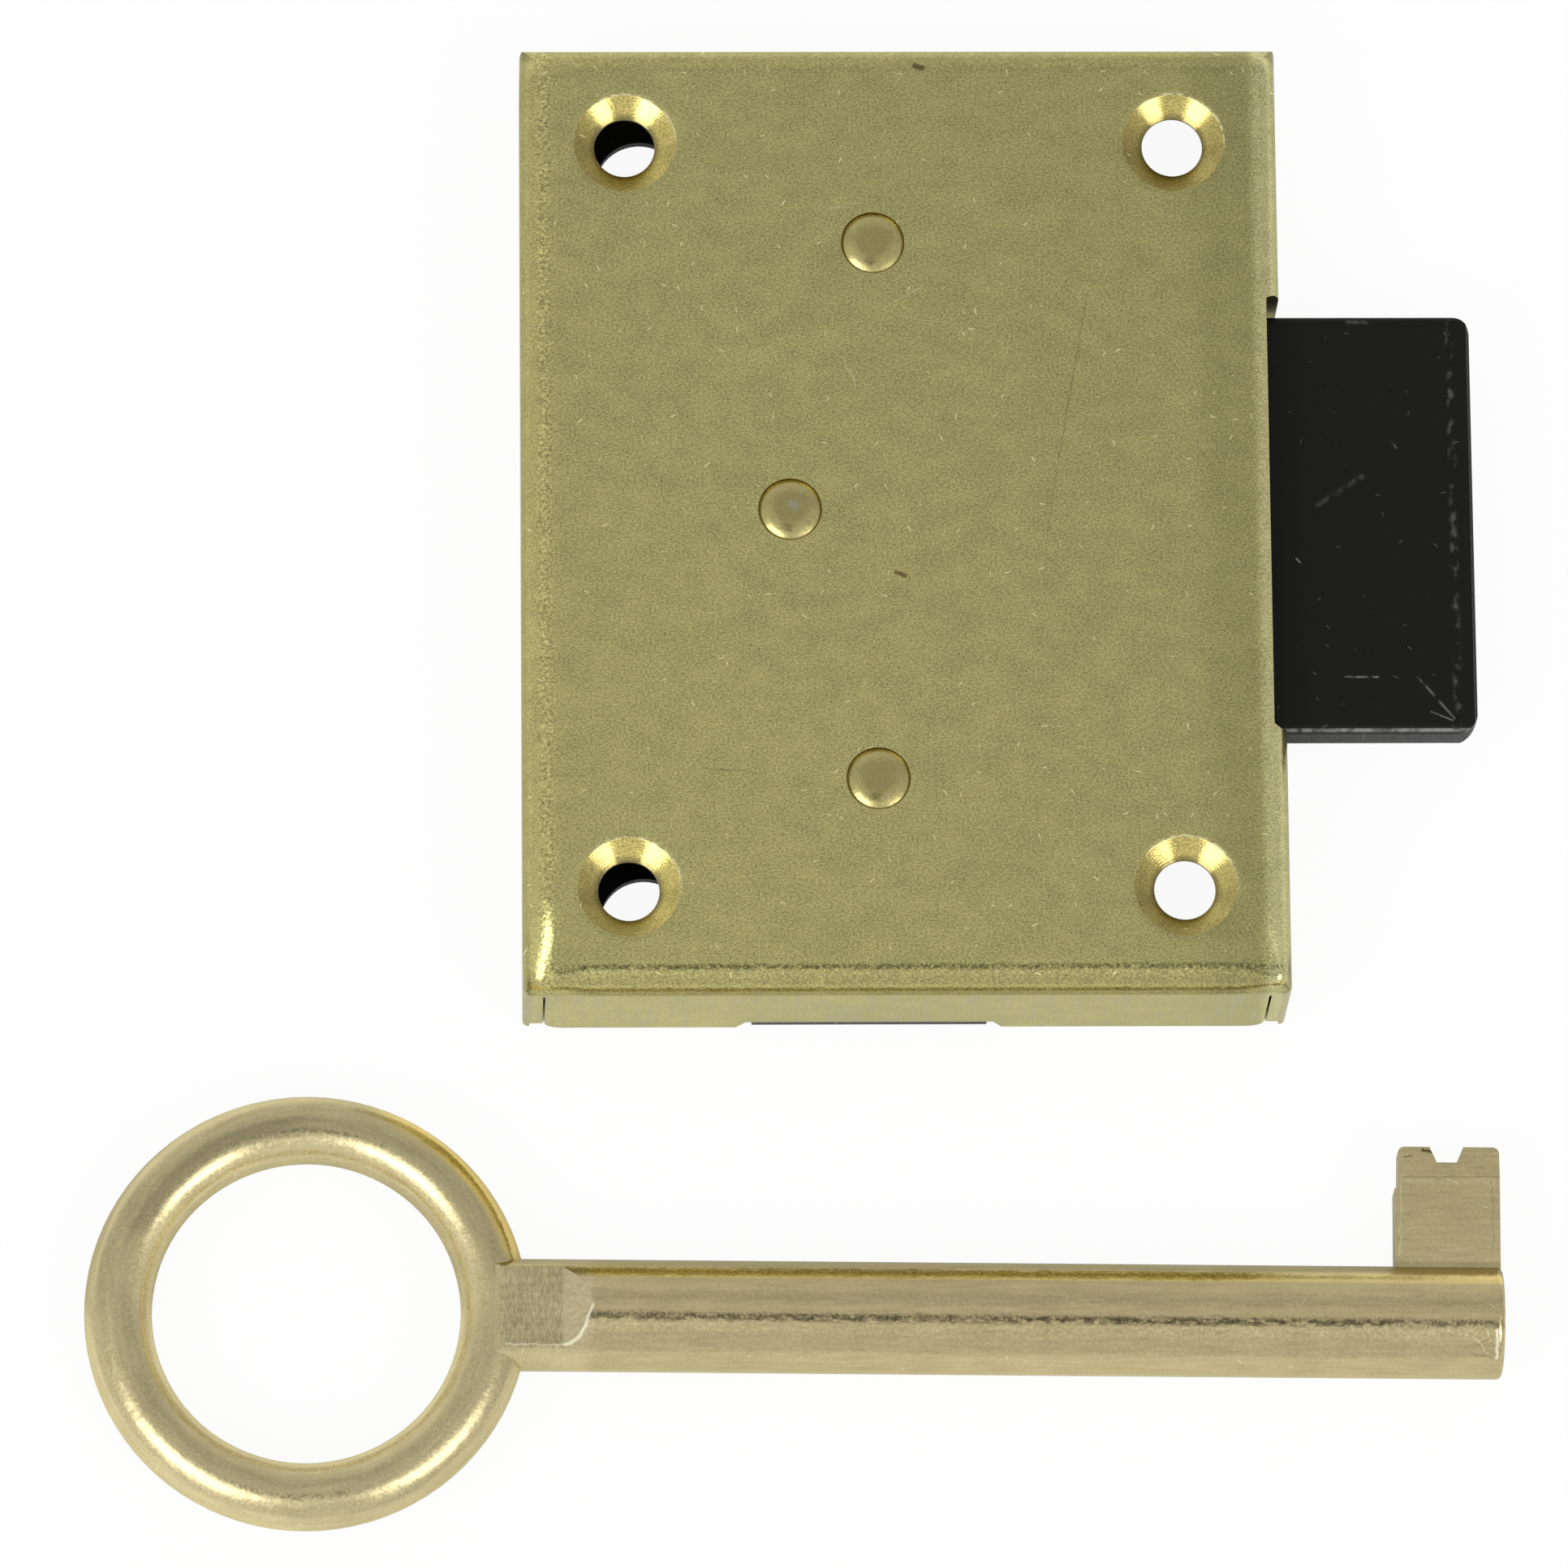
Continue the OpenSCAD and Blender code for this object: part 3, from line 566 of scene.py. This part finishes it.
# %% Case specks
PALE, GILT, BROWN = (1.0, 0.95, 0.68), (1.0, 0.91, 0.5), (0.12, 0.08, 0.035)
SPECK_TONE, HOLE_SHADE_TONE = (0.22, 0.17, 0.07), (0.14, 0.11, 0.05)
GAP_SHADE_TONE, RUN_TONE = (0.3, 0.22, 0.05), (0.4, 0.385, 0.25)
HOLE_SHADE_EDGE, RIVET_GAP_SHADE, RUN_STRETCH, RUN_EDGE = (2.45, 2.0), (2.14, 2.1), (2.0, 2.0, 0.2), (0.5, 0.64)
speck = use(tree, nicks, Place=place, Spacing_mm=1.2, Length_mm=0.14, Width_mm=0.09, Share=0.35)["Mask"]
fleck = use(tree, nicks, Place=place, Spacing_mm=1.5, Length_mm=0.22, Width_mm=0.045, Share=0.3)["Mask"]
runs = noise_of(tree, stretched(tree, place, RUN_STRETCH), 1.0)
runs = times(tree, ramp(tree, runs, *RUN_EDGE), wall)
# painted shade: a dark ring round the inner edge of each screw hole
painted_hole_shade = ramp(tree, hole_r, *HOLE_SHADE_EDGE)
# painted shade in the narrow gap round each riveted end
rivet_gap_shade = ramp(tree, from_rivet(tree, at), *RIVET_GAP_SHADE)
tone = layered(tree, tone, [(speck, 0.3, SPECK_TONE), (fleck, 1.0, GILT), (painted_hole_shade, 0.7, HOLE_SHADE_TONE), (painted_rim_glint, 0.9, GILT),
                            (rivet_gap_shade, 0.5, GAP_SHADE_TONE), (runs, 0.6, RUN_TONE)])
print("case specks", len(tree.nodes), "nodes")

# %% Case marks
# start, end, width, share and colour
case_marks = [
    ((19.72, 14.86), (17.69, 3.7), 0.07, 0.4, BROWN), ((17.69, 3.7), (16.81, -1.84), 0.06, 0.3, BROWN),
    ((16.81, -1.84), (16.49, -5.44), 0.05, 0.2, BROWN), ((-5.9, -17.62), (-2.2, -17.9), 0.07, 0.4, BROWN),
    ((6.89, -4.32), (7.52, -4.54), 0.2, 0.8, BROWN), ((8.52, 30.6), (9.0, 30.37), 0.26, 0.85, BROWN),
    ((3.54, 10.41), (4.42, 8.46), 0.06, 0.35, PALE), ((2.7, 20.6), (4.8, 21.05), 0.06, 0.2, PALE),
    ((6.9, 14.2), (8.8, 15.2), 0.07, 0.25, PALE),
]
tone = marked(tree, place, tone, case_marks)
print("case marks", len(case_marks))

# %% Case relief
GRAIN_SWING, SHEET_ROUGH = (0.25, 0.75), (0.25, 0.33)
FOLD_PEEL_MM, LINE_PEEL_MM, GRAIN_MM = 0.012, 0.03, 0.006
RING_PER_MM, RING_MM = 35.0, 0.0006
RIM_R, RIM_END, RIM_DROP_MM, SINK_SLOPE = 3.3, 3.7, 0.05, 0.06
polish = ramp(tree, grain["Height"], *GRAIN_SWING, *SHEET_ROUGH)
polish = minus(tree, minus(tree, polish, times(tree, fold, 0.07)), times(tree, countersunk, 0.12))
peel_mm = plus(tree, times(tree, fold, FOLD_PEEL_MM), times(tree, peeled, LINE_PEEL_MM))
rings = times(tree, math_of(tree, "SINE", times(tree, hole_r, RING_PER_MM)), countersunk, RING_MM)
rim = ramp(tree, hole_r, RIM_R, RIM_END, -RIM_DROP_MM, 0.0)
rim = minus(tree, rim, times(tree, math_of(tree, "MINIMUM", hole_r, RIM_R), SINK_SLOPE))
height = plus(tree, times(tree, peel, peel_mm), times(tree, grain["Height"], GRAIN_MM), rings, rim)
print("case relief", len(tree.nodes), "nodes")

# %% Case folds
CASE_DEEP, ROLL_R = 10.0, 2.0
LEFT_ROLL_X, LEFT_ROLL_Y = (-13.0, -15.2), (-32.0, -28.0, -0.6, 0.6)
TIGHT_X, TIGHT_Y = (28.5, 31.0), (-28.0, -31.0, 0.0, 0.9)
SUNK_X, SUNK_Y, SUNK_TILT = (22.7, 23.4), ((-25.5, -29.5), (-31.8, -30.6)), (-0.42, -0.16)
# the left fold gets wider upwards, the right corner is tighter, and both lower corners are a little hollow
surface = put(tree, "ShaderNodeNewGeometry").outputs["Normal"]
roll = times(tree, ramp(tree, at["Y"], *LEFT_ROLL_Y), ramp(tree, at["X"], *LEFT_ROLL_X))
tight = times(tree, ramp(tree, at["Y"], *TIGHT_Y), ramp(tree, at["X"], *TIGHT_X))
soft = use(tree, rolled_edge, Place=place, Surface=surface, Middle=(*CASE_MID, 0.0), Half=(*CASE_HALF, CASE_DEEP),
           Radius_mm=plus(tree, minus(tree, roll, tight), ROLL_R), Share=minus(tree, 1.0, countersunk))["Normal"]
sunk = times(tree, within(tree, at["Y"], *SUNK_Y), ramp(tree, away[0], *SUNK_X),
             ramp(tree, at["X"], *BOLT_SIDE, *SUNK_TILT))
soft = vector_of(tree, "NORMALIZE", vector_of(tree, "ADD", soft, joined(tree, Y=sunk)))
dress(tree, shader, tone, polish, height, soft)
wear(brassed_sheet, "case")

# %% [markdown]
# ## The riveted ends
# The pillars and the drill pin are turned from plated rod and hammered over. Their ends are smoother than the sheet,
# with a dull flat in the middle from the hammer. The flat is a mask round each pin's own axis. The drill pin also has
# a grey spot where the plate is worn.

# %% Rivet finish
ROD_TONE, BEATEN_TONE = (0.5, 0.44, 0.185), (0.39, 0.335, 0.135)
PIT_TONE, WORN_TONE = (0.2, 0.15, 0.07), (0.47, 0.43, 0.4)
BEATEN_EDGE, OUTER_RIM = (1.6, 0.7), (1.94, 2.04)
brassed_rod, tree, shader = finish_of("brassed_rod", 1.0, edge=BRASS_EDGE)
place = millimetres(tree)
at = split(tree, place)
from_axis = from_rivet(tree, at)
grain = use(tree, satin_grain, Place=place, Grain_mm=0.16, Contrast=0.25)
tone = blend_of(tree, ramp(tree, from_axis, *BEATEN_EDGE), ROD_TONE, BEATEN_TONE)
pits = use(tree, nicks, Place=place, Spacing_mm=0.5, Length_mm=0.07, Width_mm=0.05, Share=0.5)["Mask"]
# painted shade: a dark ring at the rim of each riveted end
tone = layered(tree, scale_of(tree, tone, grain["Shade"]), [(ramp(tree, from_axis, *OUTER_RIM), 0.4, GAP_SHADE_TONE),
                                                            (pits, 0.35, PIT_TONE)])
tone = marked(tree, place, tone, [((0.1, 0.3), (0.3, 0.2), 0.45, 0.5, WORN_TONE)])
print("rivet tone", len(tree.nodes), "nodes")

# %% Rivet relief
PILLAR_FROM, TURN_DOWN_R, UNEVEN, ROD_ROUGH = 9.0, 1.3, (-1.2, 1.2, -0.15, -0.06), (0.2, 0.28)
on_pillar = math_of(tree, "GREATER_THAN", math_of(tree, "ABSOLUTE", at["Y"]), PILLAR_FROM)
uneven = ramp(tree, minus(tree, at["X"], times(tree, on_pillar, PILLAR_X)), *UNEVEN)
turned_down = larger(tree, minus(tree, from_axis, TURN_DOWN_R), 0.0)
turned_down = times(tree, turned_down, turned_down, uneven)
polish = ramp(tree, grain["Height"], *GRAIN_SWING, *ROD_ROUGH)
dress(tree, shader, tone, polish, plus(tree, times(tree, grain["Height"], GRAIN_MM), turned_down))
wear(brassed_rod, "upper_pillar", "lower_pillar", "drill_pin")

# %% [markdown]
# ## The key
# The key is cast and then plated, so it is paler and softer than the sheet. Its shank was polished along its length,
# and its flats were ground across. The key lies a little askew, so its places are first turned into the key's own
# frame: X along the shank from the middle of the ring, Y across it and Z up.

# %% Key zones
RING_AT, ASKEW = (-31.7, -52.45, 3.65), math.radians(-0.7)
PAD_X, PAD_LEVEL = ((12.3, 12.6), (16.8, 16.5)), (2.3, 2.5)
RUN_OUT_X, RUN_OUT_HALF = ((16.5, 16.8), (18.7, 18.4)), (2.6, 2.0)
SHANK_START = (17.5, 19.0)
brassed_casting, tree, shader = finish_of("brassed_casting", 1.0, edge=BRASS_EDGE)
turned_back = {"Vector": millimetres(tree), "Center": RING_AT, "Angle": -ASKEW}
place = put(tree, "ShaderNodeVectorRotate", turned_back, rotation_type="Z_AXIS").outputs[0]
place = vector_of(tree, "SUBTRACT", place, RING_AT)
at = split(tree, place)
over_axis, beside_axis = (math_of(tree, "ABSOLUTE", at[axis]) for axis in "ZY")
pad = times(tree, within(tree, at["X"], *PAD_X), ramp(tree, over_axis, *PAD_LEVEL))
run_out = times(tree, within(tree, at["X"], *RUN_OUT_X), ramp(tree, beside_axis, *RUN_OUT_HALF))
shank = ramp(tree, at["X"], *SHANK_START)
print("key zones", len(tree.nodes), "nodes")

# %% Ring zones
NECK_X, NECK_END, NECK_HALF = (12.4, 12.2), (16.0, 15.0), (3.2, 3.4)
INNER_LIMB, OUTER_LIMB, LIMB_REFLECTION_R = (11.6, 10.8), (13.2, 14.0), (12.9, 13.7)
OUTER_LIMB_X, LIMB_REFLECTION_X, LIMB_REFLECTION_Y = (4.0, -4.0), (3.0, 7.0), (2.8, 4.2)
DIM_PATCH_RING, DIM_PATCH_X, DIM_PATCH_Y = ((11.1, 11.4), (12.7, 12.3)), (3.0, -3.0, 0.14, 0.3), (3.0, 6.0)
ring_r = value_of(tree, "LENGTH", stretched(tree, place, (1, 1, 0)))
beside_neck = times(tree, ramp(tree, at["X"], *NECK_END), ramp(tree, beside_axis, *NECK_HALF))
ring = larger(tree, ramp(tree, at["X"], *NECK_X), beside_neck)
# painted light: the ring's inner limb, and its outer limb on the left, are coloured lighter
inner = ramp(tree, ring_r, *INNER_LIMB, 0.0, 0.26)
outer = times(tree, ramp(tree, ring_r, *OUTER_LIMB, 0.0, 0.2), ramp(tree, at["X"], *OUTER_LIMB_X))
# painted reflection: a golden line on the ring's outer limb near the shank
painted_limb_reflection = times(tree, ramp(tree, ring_r, *LIMB_REFLECTION_R), ramp(tree, at["X"], *LIMB_REFLECTION_X),
               ramp(tree, at["Y"], *LIMB_REFLECTION_Y))
# painted shade: a patch on the ring's upper side is dimmed where a highlight falls
painted_dim_patch = times(tree, ramp(tree, at["Y"], *DIM_PATCH_Y), ramp(tree, at["X"], *DIM_PATCH_X), within(tree, ring_r, *DIM_PATCH_RING))
painted_limb_light = times(tree, minus(tree, plus(tree, inner, outer), painted_dim_patch), ring)
print("ring zones", len(tree.nodes), "nodes")

# %% Key tone
RING_TONE, SHANK_TONE, RUN_OUT_PAINTED_LIGHT = (0.585, 0.505, 0.28), (0.595, 0.5, 0.27), (0.66, 0.56, 0.34)
STREAK_STRETCH, ROUND_STRETCH, GROUND_STRETCH = (0.1, 1.0, 1.0), 1.3, (9.0, 2.0, 0.5)
grain = use(tree, satin_grain, Place=place, Grain_mm=0.2, Contrast=0.19, Cloud=0.12)
bearing = math_of(tree, "ARCTAN2", at["Y"], times(tree, at["X"], -1.0))
round_ring = joined(tree, X=times(tree, bearing, ROUND_STRETCH), Y=ring_r, Z=at["Z"])
drawn = blend_of(tree, ring, stretched(tree, place, STREAK_STRETCH), round_ring)
streak = use(tree, satin_grain, Place=drawn, Grain_mm=0.3, Contrast=0.2, Cloud=0.12)
ground = noise_of(tree, stretched(tree, place, GROUND_STRETCH), 1.0, 4.0)
ground_shade = times(tree, minus(tree, ground, 0.55), 1.2, pad)
shade = times(tree, grain["Shade"], streak["Shade"], plus(tree, painted_limb_light, 1.0), plus(tree, ground_shade, 1.0))
# painted light: the run-out's slope is coloured lighter
tone = layered(tree, RING_TONE, [(shank, 1.0, SHANK_TONE), (run_out, 1.0, RUN_OUT_PAINTED_LIGHT)])
tone = scale_of(tree, tone, shade)
print("key tone", len(tree.nodes), "nodes")

# %% Key painted reflections and shade
WALL_REFLECTION_BAND, WALL_REFLECTION_TONE, LIMB_REFLECTION_TONE = ((1.75, 2.05), (2.75, 2.45)), (0.88, 0.7, 0.29), (0.95, 0.74, 0.27)
BACK_LIMB_Y, BACK_LIMB_END, FRONT_SIDE_Y = (2.6, 2.9, 0.0, 0.2), (3.9, 3.65), (-0.9, -1.6, 0.0, 0.1)
CROWN_Y, CROWN_HALF, CROWN_LEVEL = -0.87, (0.42, 0.05), (3.0, 3.3)
CROWN_GROWS, CROWN_FADES = (20.0, 50.0, 0.65, 1.0), (69.0, 76.0, 1.0, 0.5)
CROWN_STRETCH, CROWN_DOTS = (1.6, 4.0, 1.0), (0.58, 0.43, 0.0, 0.62)
# painted reflection: a golden band along the shank where the lock's wall is mirrored
painted_wall_reflection = times(tree, within(tree, at["Y"], *WALL_REFLECTION_BAND), shank)
tone = layered(tree, tone, [(painted_wall_reflection, 1.0, WALL_REFLECTION_TONE), (times(tree, painted_limb_reflection, ring), 1.0, LIMB_REFLECTION_TONE)])
# painted shade and reflection: the shank's back limb and front side are darker, and a dotted dark line along the crown
# stands for the mirrored lens opening
back_limb = within(tree, at["Y"], BACK_LIMB_Y, BACK_LIMB_END)
front_side = ramp(tree, at["Y"], *FRONT_SIDE_Y)
dots = noise_of(tree, stretched(tree, place, CROWN_STRETCH), 1.0, 4.0)
crown = times(tree, ramp(tree, apart(tree, at["Y"], CROWN_Y), *CROWN_HALF), ramp(tree, at["Z"], *CROWN_LEVEL),
              ramp(tree, at["X"], *CROWN_GROWS), ramp(tree, at["X"], *CROWN_FADES), ramp(tree, dots, *CROWN_DOTS))
painted_dark_lines = times(tree, plus(tree, back_limb, front_side, crown), shank)
tone = scale_of(tree, tone, minus(tree, 1.0, painted_dark_lines))
print("key lines", len(tree.nodes), "nodes")

# %% Key marks
KEY_FLECK = (1.0, 0.93, 0.72)
fleck = use(tree, nicks, Place=place, Spacing_mm=1.8, Length_mm=0.2, Width_mm=0.045, Share=0.45)["Mask"]
tone = layered(tree, tone, [(fleck, 0.4, KEY_FLECK)])
# painted highlights: the bright line along the burr at the run-out's lower edge and the pad's edge, and the one across
# the tip's end; the other marks are scratches and stains
burr_and_glint_line = [(16.69, -2.54), (17.24, -2.38), (17.73, -2.03), (18.06, -1.42), (18.28, -0.8), (18.57, -0.1)]
key_marks = [(a, b, 0.15, 1.0, PALE) for a, b in zip(burr_and_glint_line, burr_and_glint_line[1:])]
key_marks += [
    ((12.9, -2.5), (16.7, -2.54), 0.07, 0.6, PALE), ((77.06, -1.2), (77.07, -2.8), 0.14, 1.0, PALE),
    ((75.73, -2.16), (76.79, -1.61), 0.06, 0.35, BROWN), ((75.53, -2.65), (76.81, -2.81), 0.06, 0.35, BROWN),
    ((76.05, -0.8), (76.68, -1.83), 0.06, 0.3, PALE), ((75.52, -1.65), (76.49, -2.62), 0.07, 0.3, PALE),
    ((71.2, 9.45), (77.4, 9.52), 0.08, 0.3, BROWN), ((71.4, 9.2), (73.2, 9.25), 0.07, 0.25, PALE),
    ((74.0, 9.3), (74.86, 9.1), 0.06, 0.5, PALE), ((72.5, 11.36), (73.0, 11.19), 0.14, 0.9, BROWN),
    ((71.3, 10.87), (71.8, 11.0), 0.08, 0.6, BROWN), ((77.0, 9.2), (77.05, 4.4), 0.06, 0.25, BROWN),
    ((73.6, 4.6), (75.8, 4.7), 0.16, 0.15, PALE), ((71.05, 9.2), (70.95, 4.2), 0.07, 0.3, PALE),
]
tone = marked(tree, place, tone, key_marks)
print("key marks", len(key_marks))

# %% Key relief
CAST_PER_MM, CAST_MM, KEY_GRAIN_MM, STREAK_MM, GROUND_MM = 1.1, 0.03, 0.007, 0.006, 0.008
CAST_ROUGH, RING_ROUGHER = (0.16, 0.28), (13.0, 11.0, 0.0, 0.06)
polish = ramp(tree, grain["Height"], *GRAIN_SWING, *CAST_ROUGH)
polish = plus(tree, polish, ramp(tree, at["X"], *RING_ROUGHER))
cast = times(tree, noise_of(tree, place, CAST_PER_MM), CAST_MM)
fine = times(tree, grain["Height"], KEY_GRAIN_MM)
height = plus(tree, cast, fine, times(tree, streak["Height"], shank, STREAK_MM), times(tree, ground, pad, GROUND_MM))
dress(tree, shader, tone, polish, height)
wear(brassed_casting, "key")

# %% [markdown]
# ## The black bolt and back plate
# Both are steel with a thin black coat. The coat on the bolt is rubbed through along its lower front edge and in a
# dotted line near its end, so bare steel shows there. A noise breaks up these lines.

# %% Bolt zones
RUBBED_Y, RUBBED_HALF, RUBBED_LEVEL, RUBBED_BREAKS = -14.12, (0.16, 0.02), (6.0, 6.4), (0.3, 0.6, 0.1, 0.5)
END_X, END_HALF, END_LEVEL, END_BREAKS = 43.75, (0.4, 0.0), (6.2, 6.5, 0.0, 0.14), (0.5, 0.68)
black_coat, tree, shader = finish_of("black_coat_worn", 0.0, 0.19)
place = millimetres(tree)
at = split(tree, place)
grain = use(tree, satin_grain, Place=place, Grain_mm=0.2, Contrast=0.25)
breaks = noise_of(tree, stretched(tree, place, (1.0, 0.6, 1.0)), 1.8, 5.0)
low_edge = times(tree, ramp(tree, apart(tree, at["Y"], RUBBED_Y), *RUBBED_HALF),
                 ramp(tree, at["Z"], *RUBBED_LEVEL), ramp(tree, breaks, *RUBBED_BREAKS))
end_line = times(tree, ramp(tree, apart(tree, at["X"], END_X), *END_HALF),
                 ramp(tree, at["Z"], *END_LEVEL), ramp(tree, breaks, *END_BREAKS))
fleck = use(tree, nicks, Place=place, Spacing_mm=1.8, Length_mm=0.2, Width_mm=0.05, Share=0.35)["Mask"]
bare = larger(tree, larger(tree, end_line, low_edge), times(tree, fleck, 0.12))
print("bolt zones", len(tree.nodes), "nodes")

# %% Bolt marks
MARK_BREAKS = (0.35, 0.6)
# start, end, width and share
bolt_marks = [
    ((36.44, -10.52), (38.57, -10.53), 0.1, 0.3), ((41.18, -10.54), (43.52, -13.36), 0.12, 0.22),
    ((42.0, -12.9), (43.4, -13.5), 0.08, 0.25), ((34.86, 1.25), (37.79, 3.2), 0.25, 0.06),
    ((39.82, 5.54), (40.08, 5.15), 0.09, 0.45), ((33.34, -2.42), (33.6, -2.7), 0.08, 0.4),
    ((36.93, 13.84), (38.44, 13.84), 0.2, 0.12),
]
for start, end, width, share in bolt_marks:
    mark = use(tree, scratch, Place=place, Start=(*start, 0), End=(*end, 0), Width_mm=width)["Mask"]
    bare = larger(tree, bare, times(tree, mark, ramp(tree, breaks, *MARK_BREAKS), share))
print("bolt marks", len(bolt_marks))

# %% Bolt finish
COAT, PAINTED_LOW_SIDE_SHEEN, BARE = (0.0032, 0.0031, 0.0026), (0.02, 0.02, 0.02), (0.5, 0.5, 0.49)
LOW_SIDE, WIDE_SWING, COAT_ROUGH, COAT_MM = (-14.2, -14.28), (0.2, 0.8), (0.38, 0.56), 0.008
# painted light: the bolt's lower side is coloured a lighter black than its top
coat_and_painted_sheen = blend_of(tree, ramp(tree, at["Y"], *LOW_SIDE), COAT, PAINTED_LOW_SIDE_SHEEN)
tone = blend_of(tree, bare, scale_of(tree, coat_and_painted_sheen, grain["Shade"]), BARE)
tree.links.new(bare, shader.inputs["Metallic"])
polish = ramp(tree, grain["Height"], *WIDE_SWING, *COAT_ROUGH)
dress(tree, shader, tone, polish, times(tree, grain["Height"], COAT_MM))
wear(black_coat, "bolt")

# %% Back plate finish
PLATE_COAT, PLATE_FLECK, PLATE_ROUGH = (0.012, 0.0115, 0.013), (0.3, 0.3, 0.3), (0.35, 0.5)
black_plate, tree, shader = finish_of("black_plate", 0.0, 0.25)
place = millimetres(tree)
grain = use(tree, satin_grain, Place=place, Grain_mm=0.25, Contrast=0.25)
fleck = use(tree, nicks, Place=place, Spacing_mm=3.0, Length_mm=0.5, Width_mm=0.06, Share=0.4)["Mask"]
tone = layered(tree, scale_of(tree, PLATE_COAT, grain["Shade"]), [(fleck, 0.4, PLATE_FLECK)])
polish = ramp(tree, grain["Height"], *WIDE_SWING, *PLATE_ROUGH)
dress(tree, shader, tone, polish, times(tree, grain["Height"], COAT_MM))
wear(black_plate, "back_plate")

# %% [markdown]
# ## The works
# The levers are stamped from bare brass sheet, and the springs, the post and the stump are plain steel. They hardly
# show from outside, but they get the same grain, because the part may be taken apart. The grain of the brass is
# drawn out along the sheet.


# %% Works finish
def works_finish(name, tone, edge, stretch, rough, grain_mm):
    paint, tree, shader = finish_of(name, 1.0, edge=edge)
    place = stretched(tree, millimetres(tree), stretch)
    grain = use(tree, satin_grain, Place=place, Grain_mm=0.15, Contrast=0.15)
    polish = ramp(tree, grain["Height"], *WIDE_SWING, *rough)
    dress(tree, shader, scale_of(tree, tone, grain["Shade"]), polish, times(tree, grain["Height"], grain_mm))
    return paint


stamped_brass = works_finish("stamped_brass", tone=(0.72, 0.54, 0.22), edge=(0.9, 0.85, 0.6), stretch=(0.08, 1.0, 1.0),
                             rough=(0.25, 0.42), grain_mm=0.006)
wear(stamped_brass, "front_lever", "rear_lever", "lever_spacer")
plain_steel = works_finish("plain_steel", tone=(0.5, 0.49, 0.46), edge=(1.0, 1.0, 1.0), stretch=(1.0, 1.0, 1.0),
                           rough=(0.25, 0.4), grain_mm=0.005)
wear(plain_steel, "lever_post", "bolt_stump", "front_lever_spring", "rear_lever_spring")

# %% [markdown]
# ## The leaf springs
# A leaf is held by its lever at the root, and its free end lies on the top wall. When the lever lifts, the root goes
# up with it and the leaf bends more. So a copy of each leaf, with its place baked into its mesh, stands in for the
# rigid solid, which is hidden.

# %% Leaf springs
bpy.context.view_layer.update()
for side in ("front", "rear"):
    solid = nodes[f"{side}_lever_spring"]
    leaf = bpy.data.objects.new(f"{side}_leaf", solid.data.copy())
    bpy.context.scene.collection.objects.link(leaf)
    leaf.matrix_world = solid.matrix_world
    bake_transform(leaf)
    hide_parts(f"{side}_lever_spring")
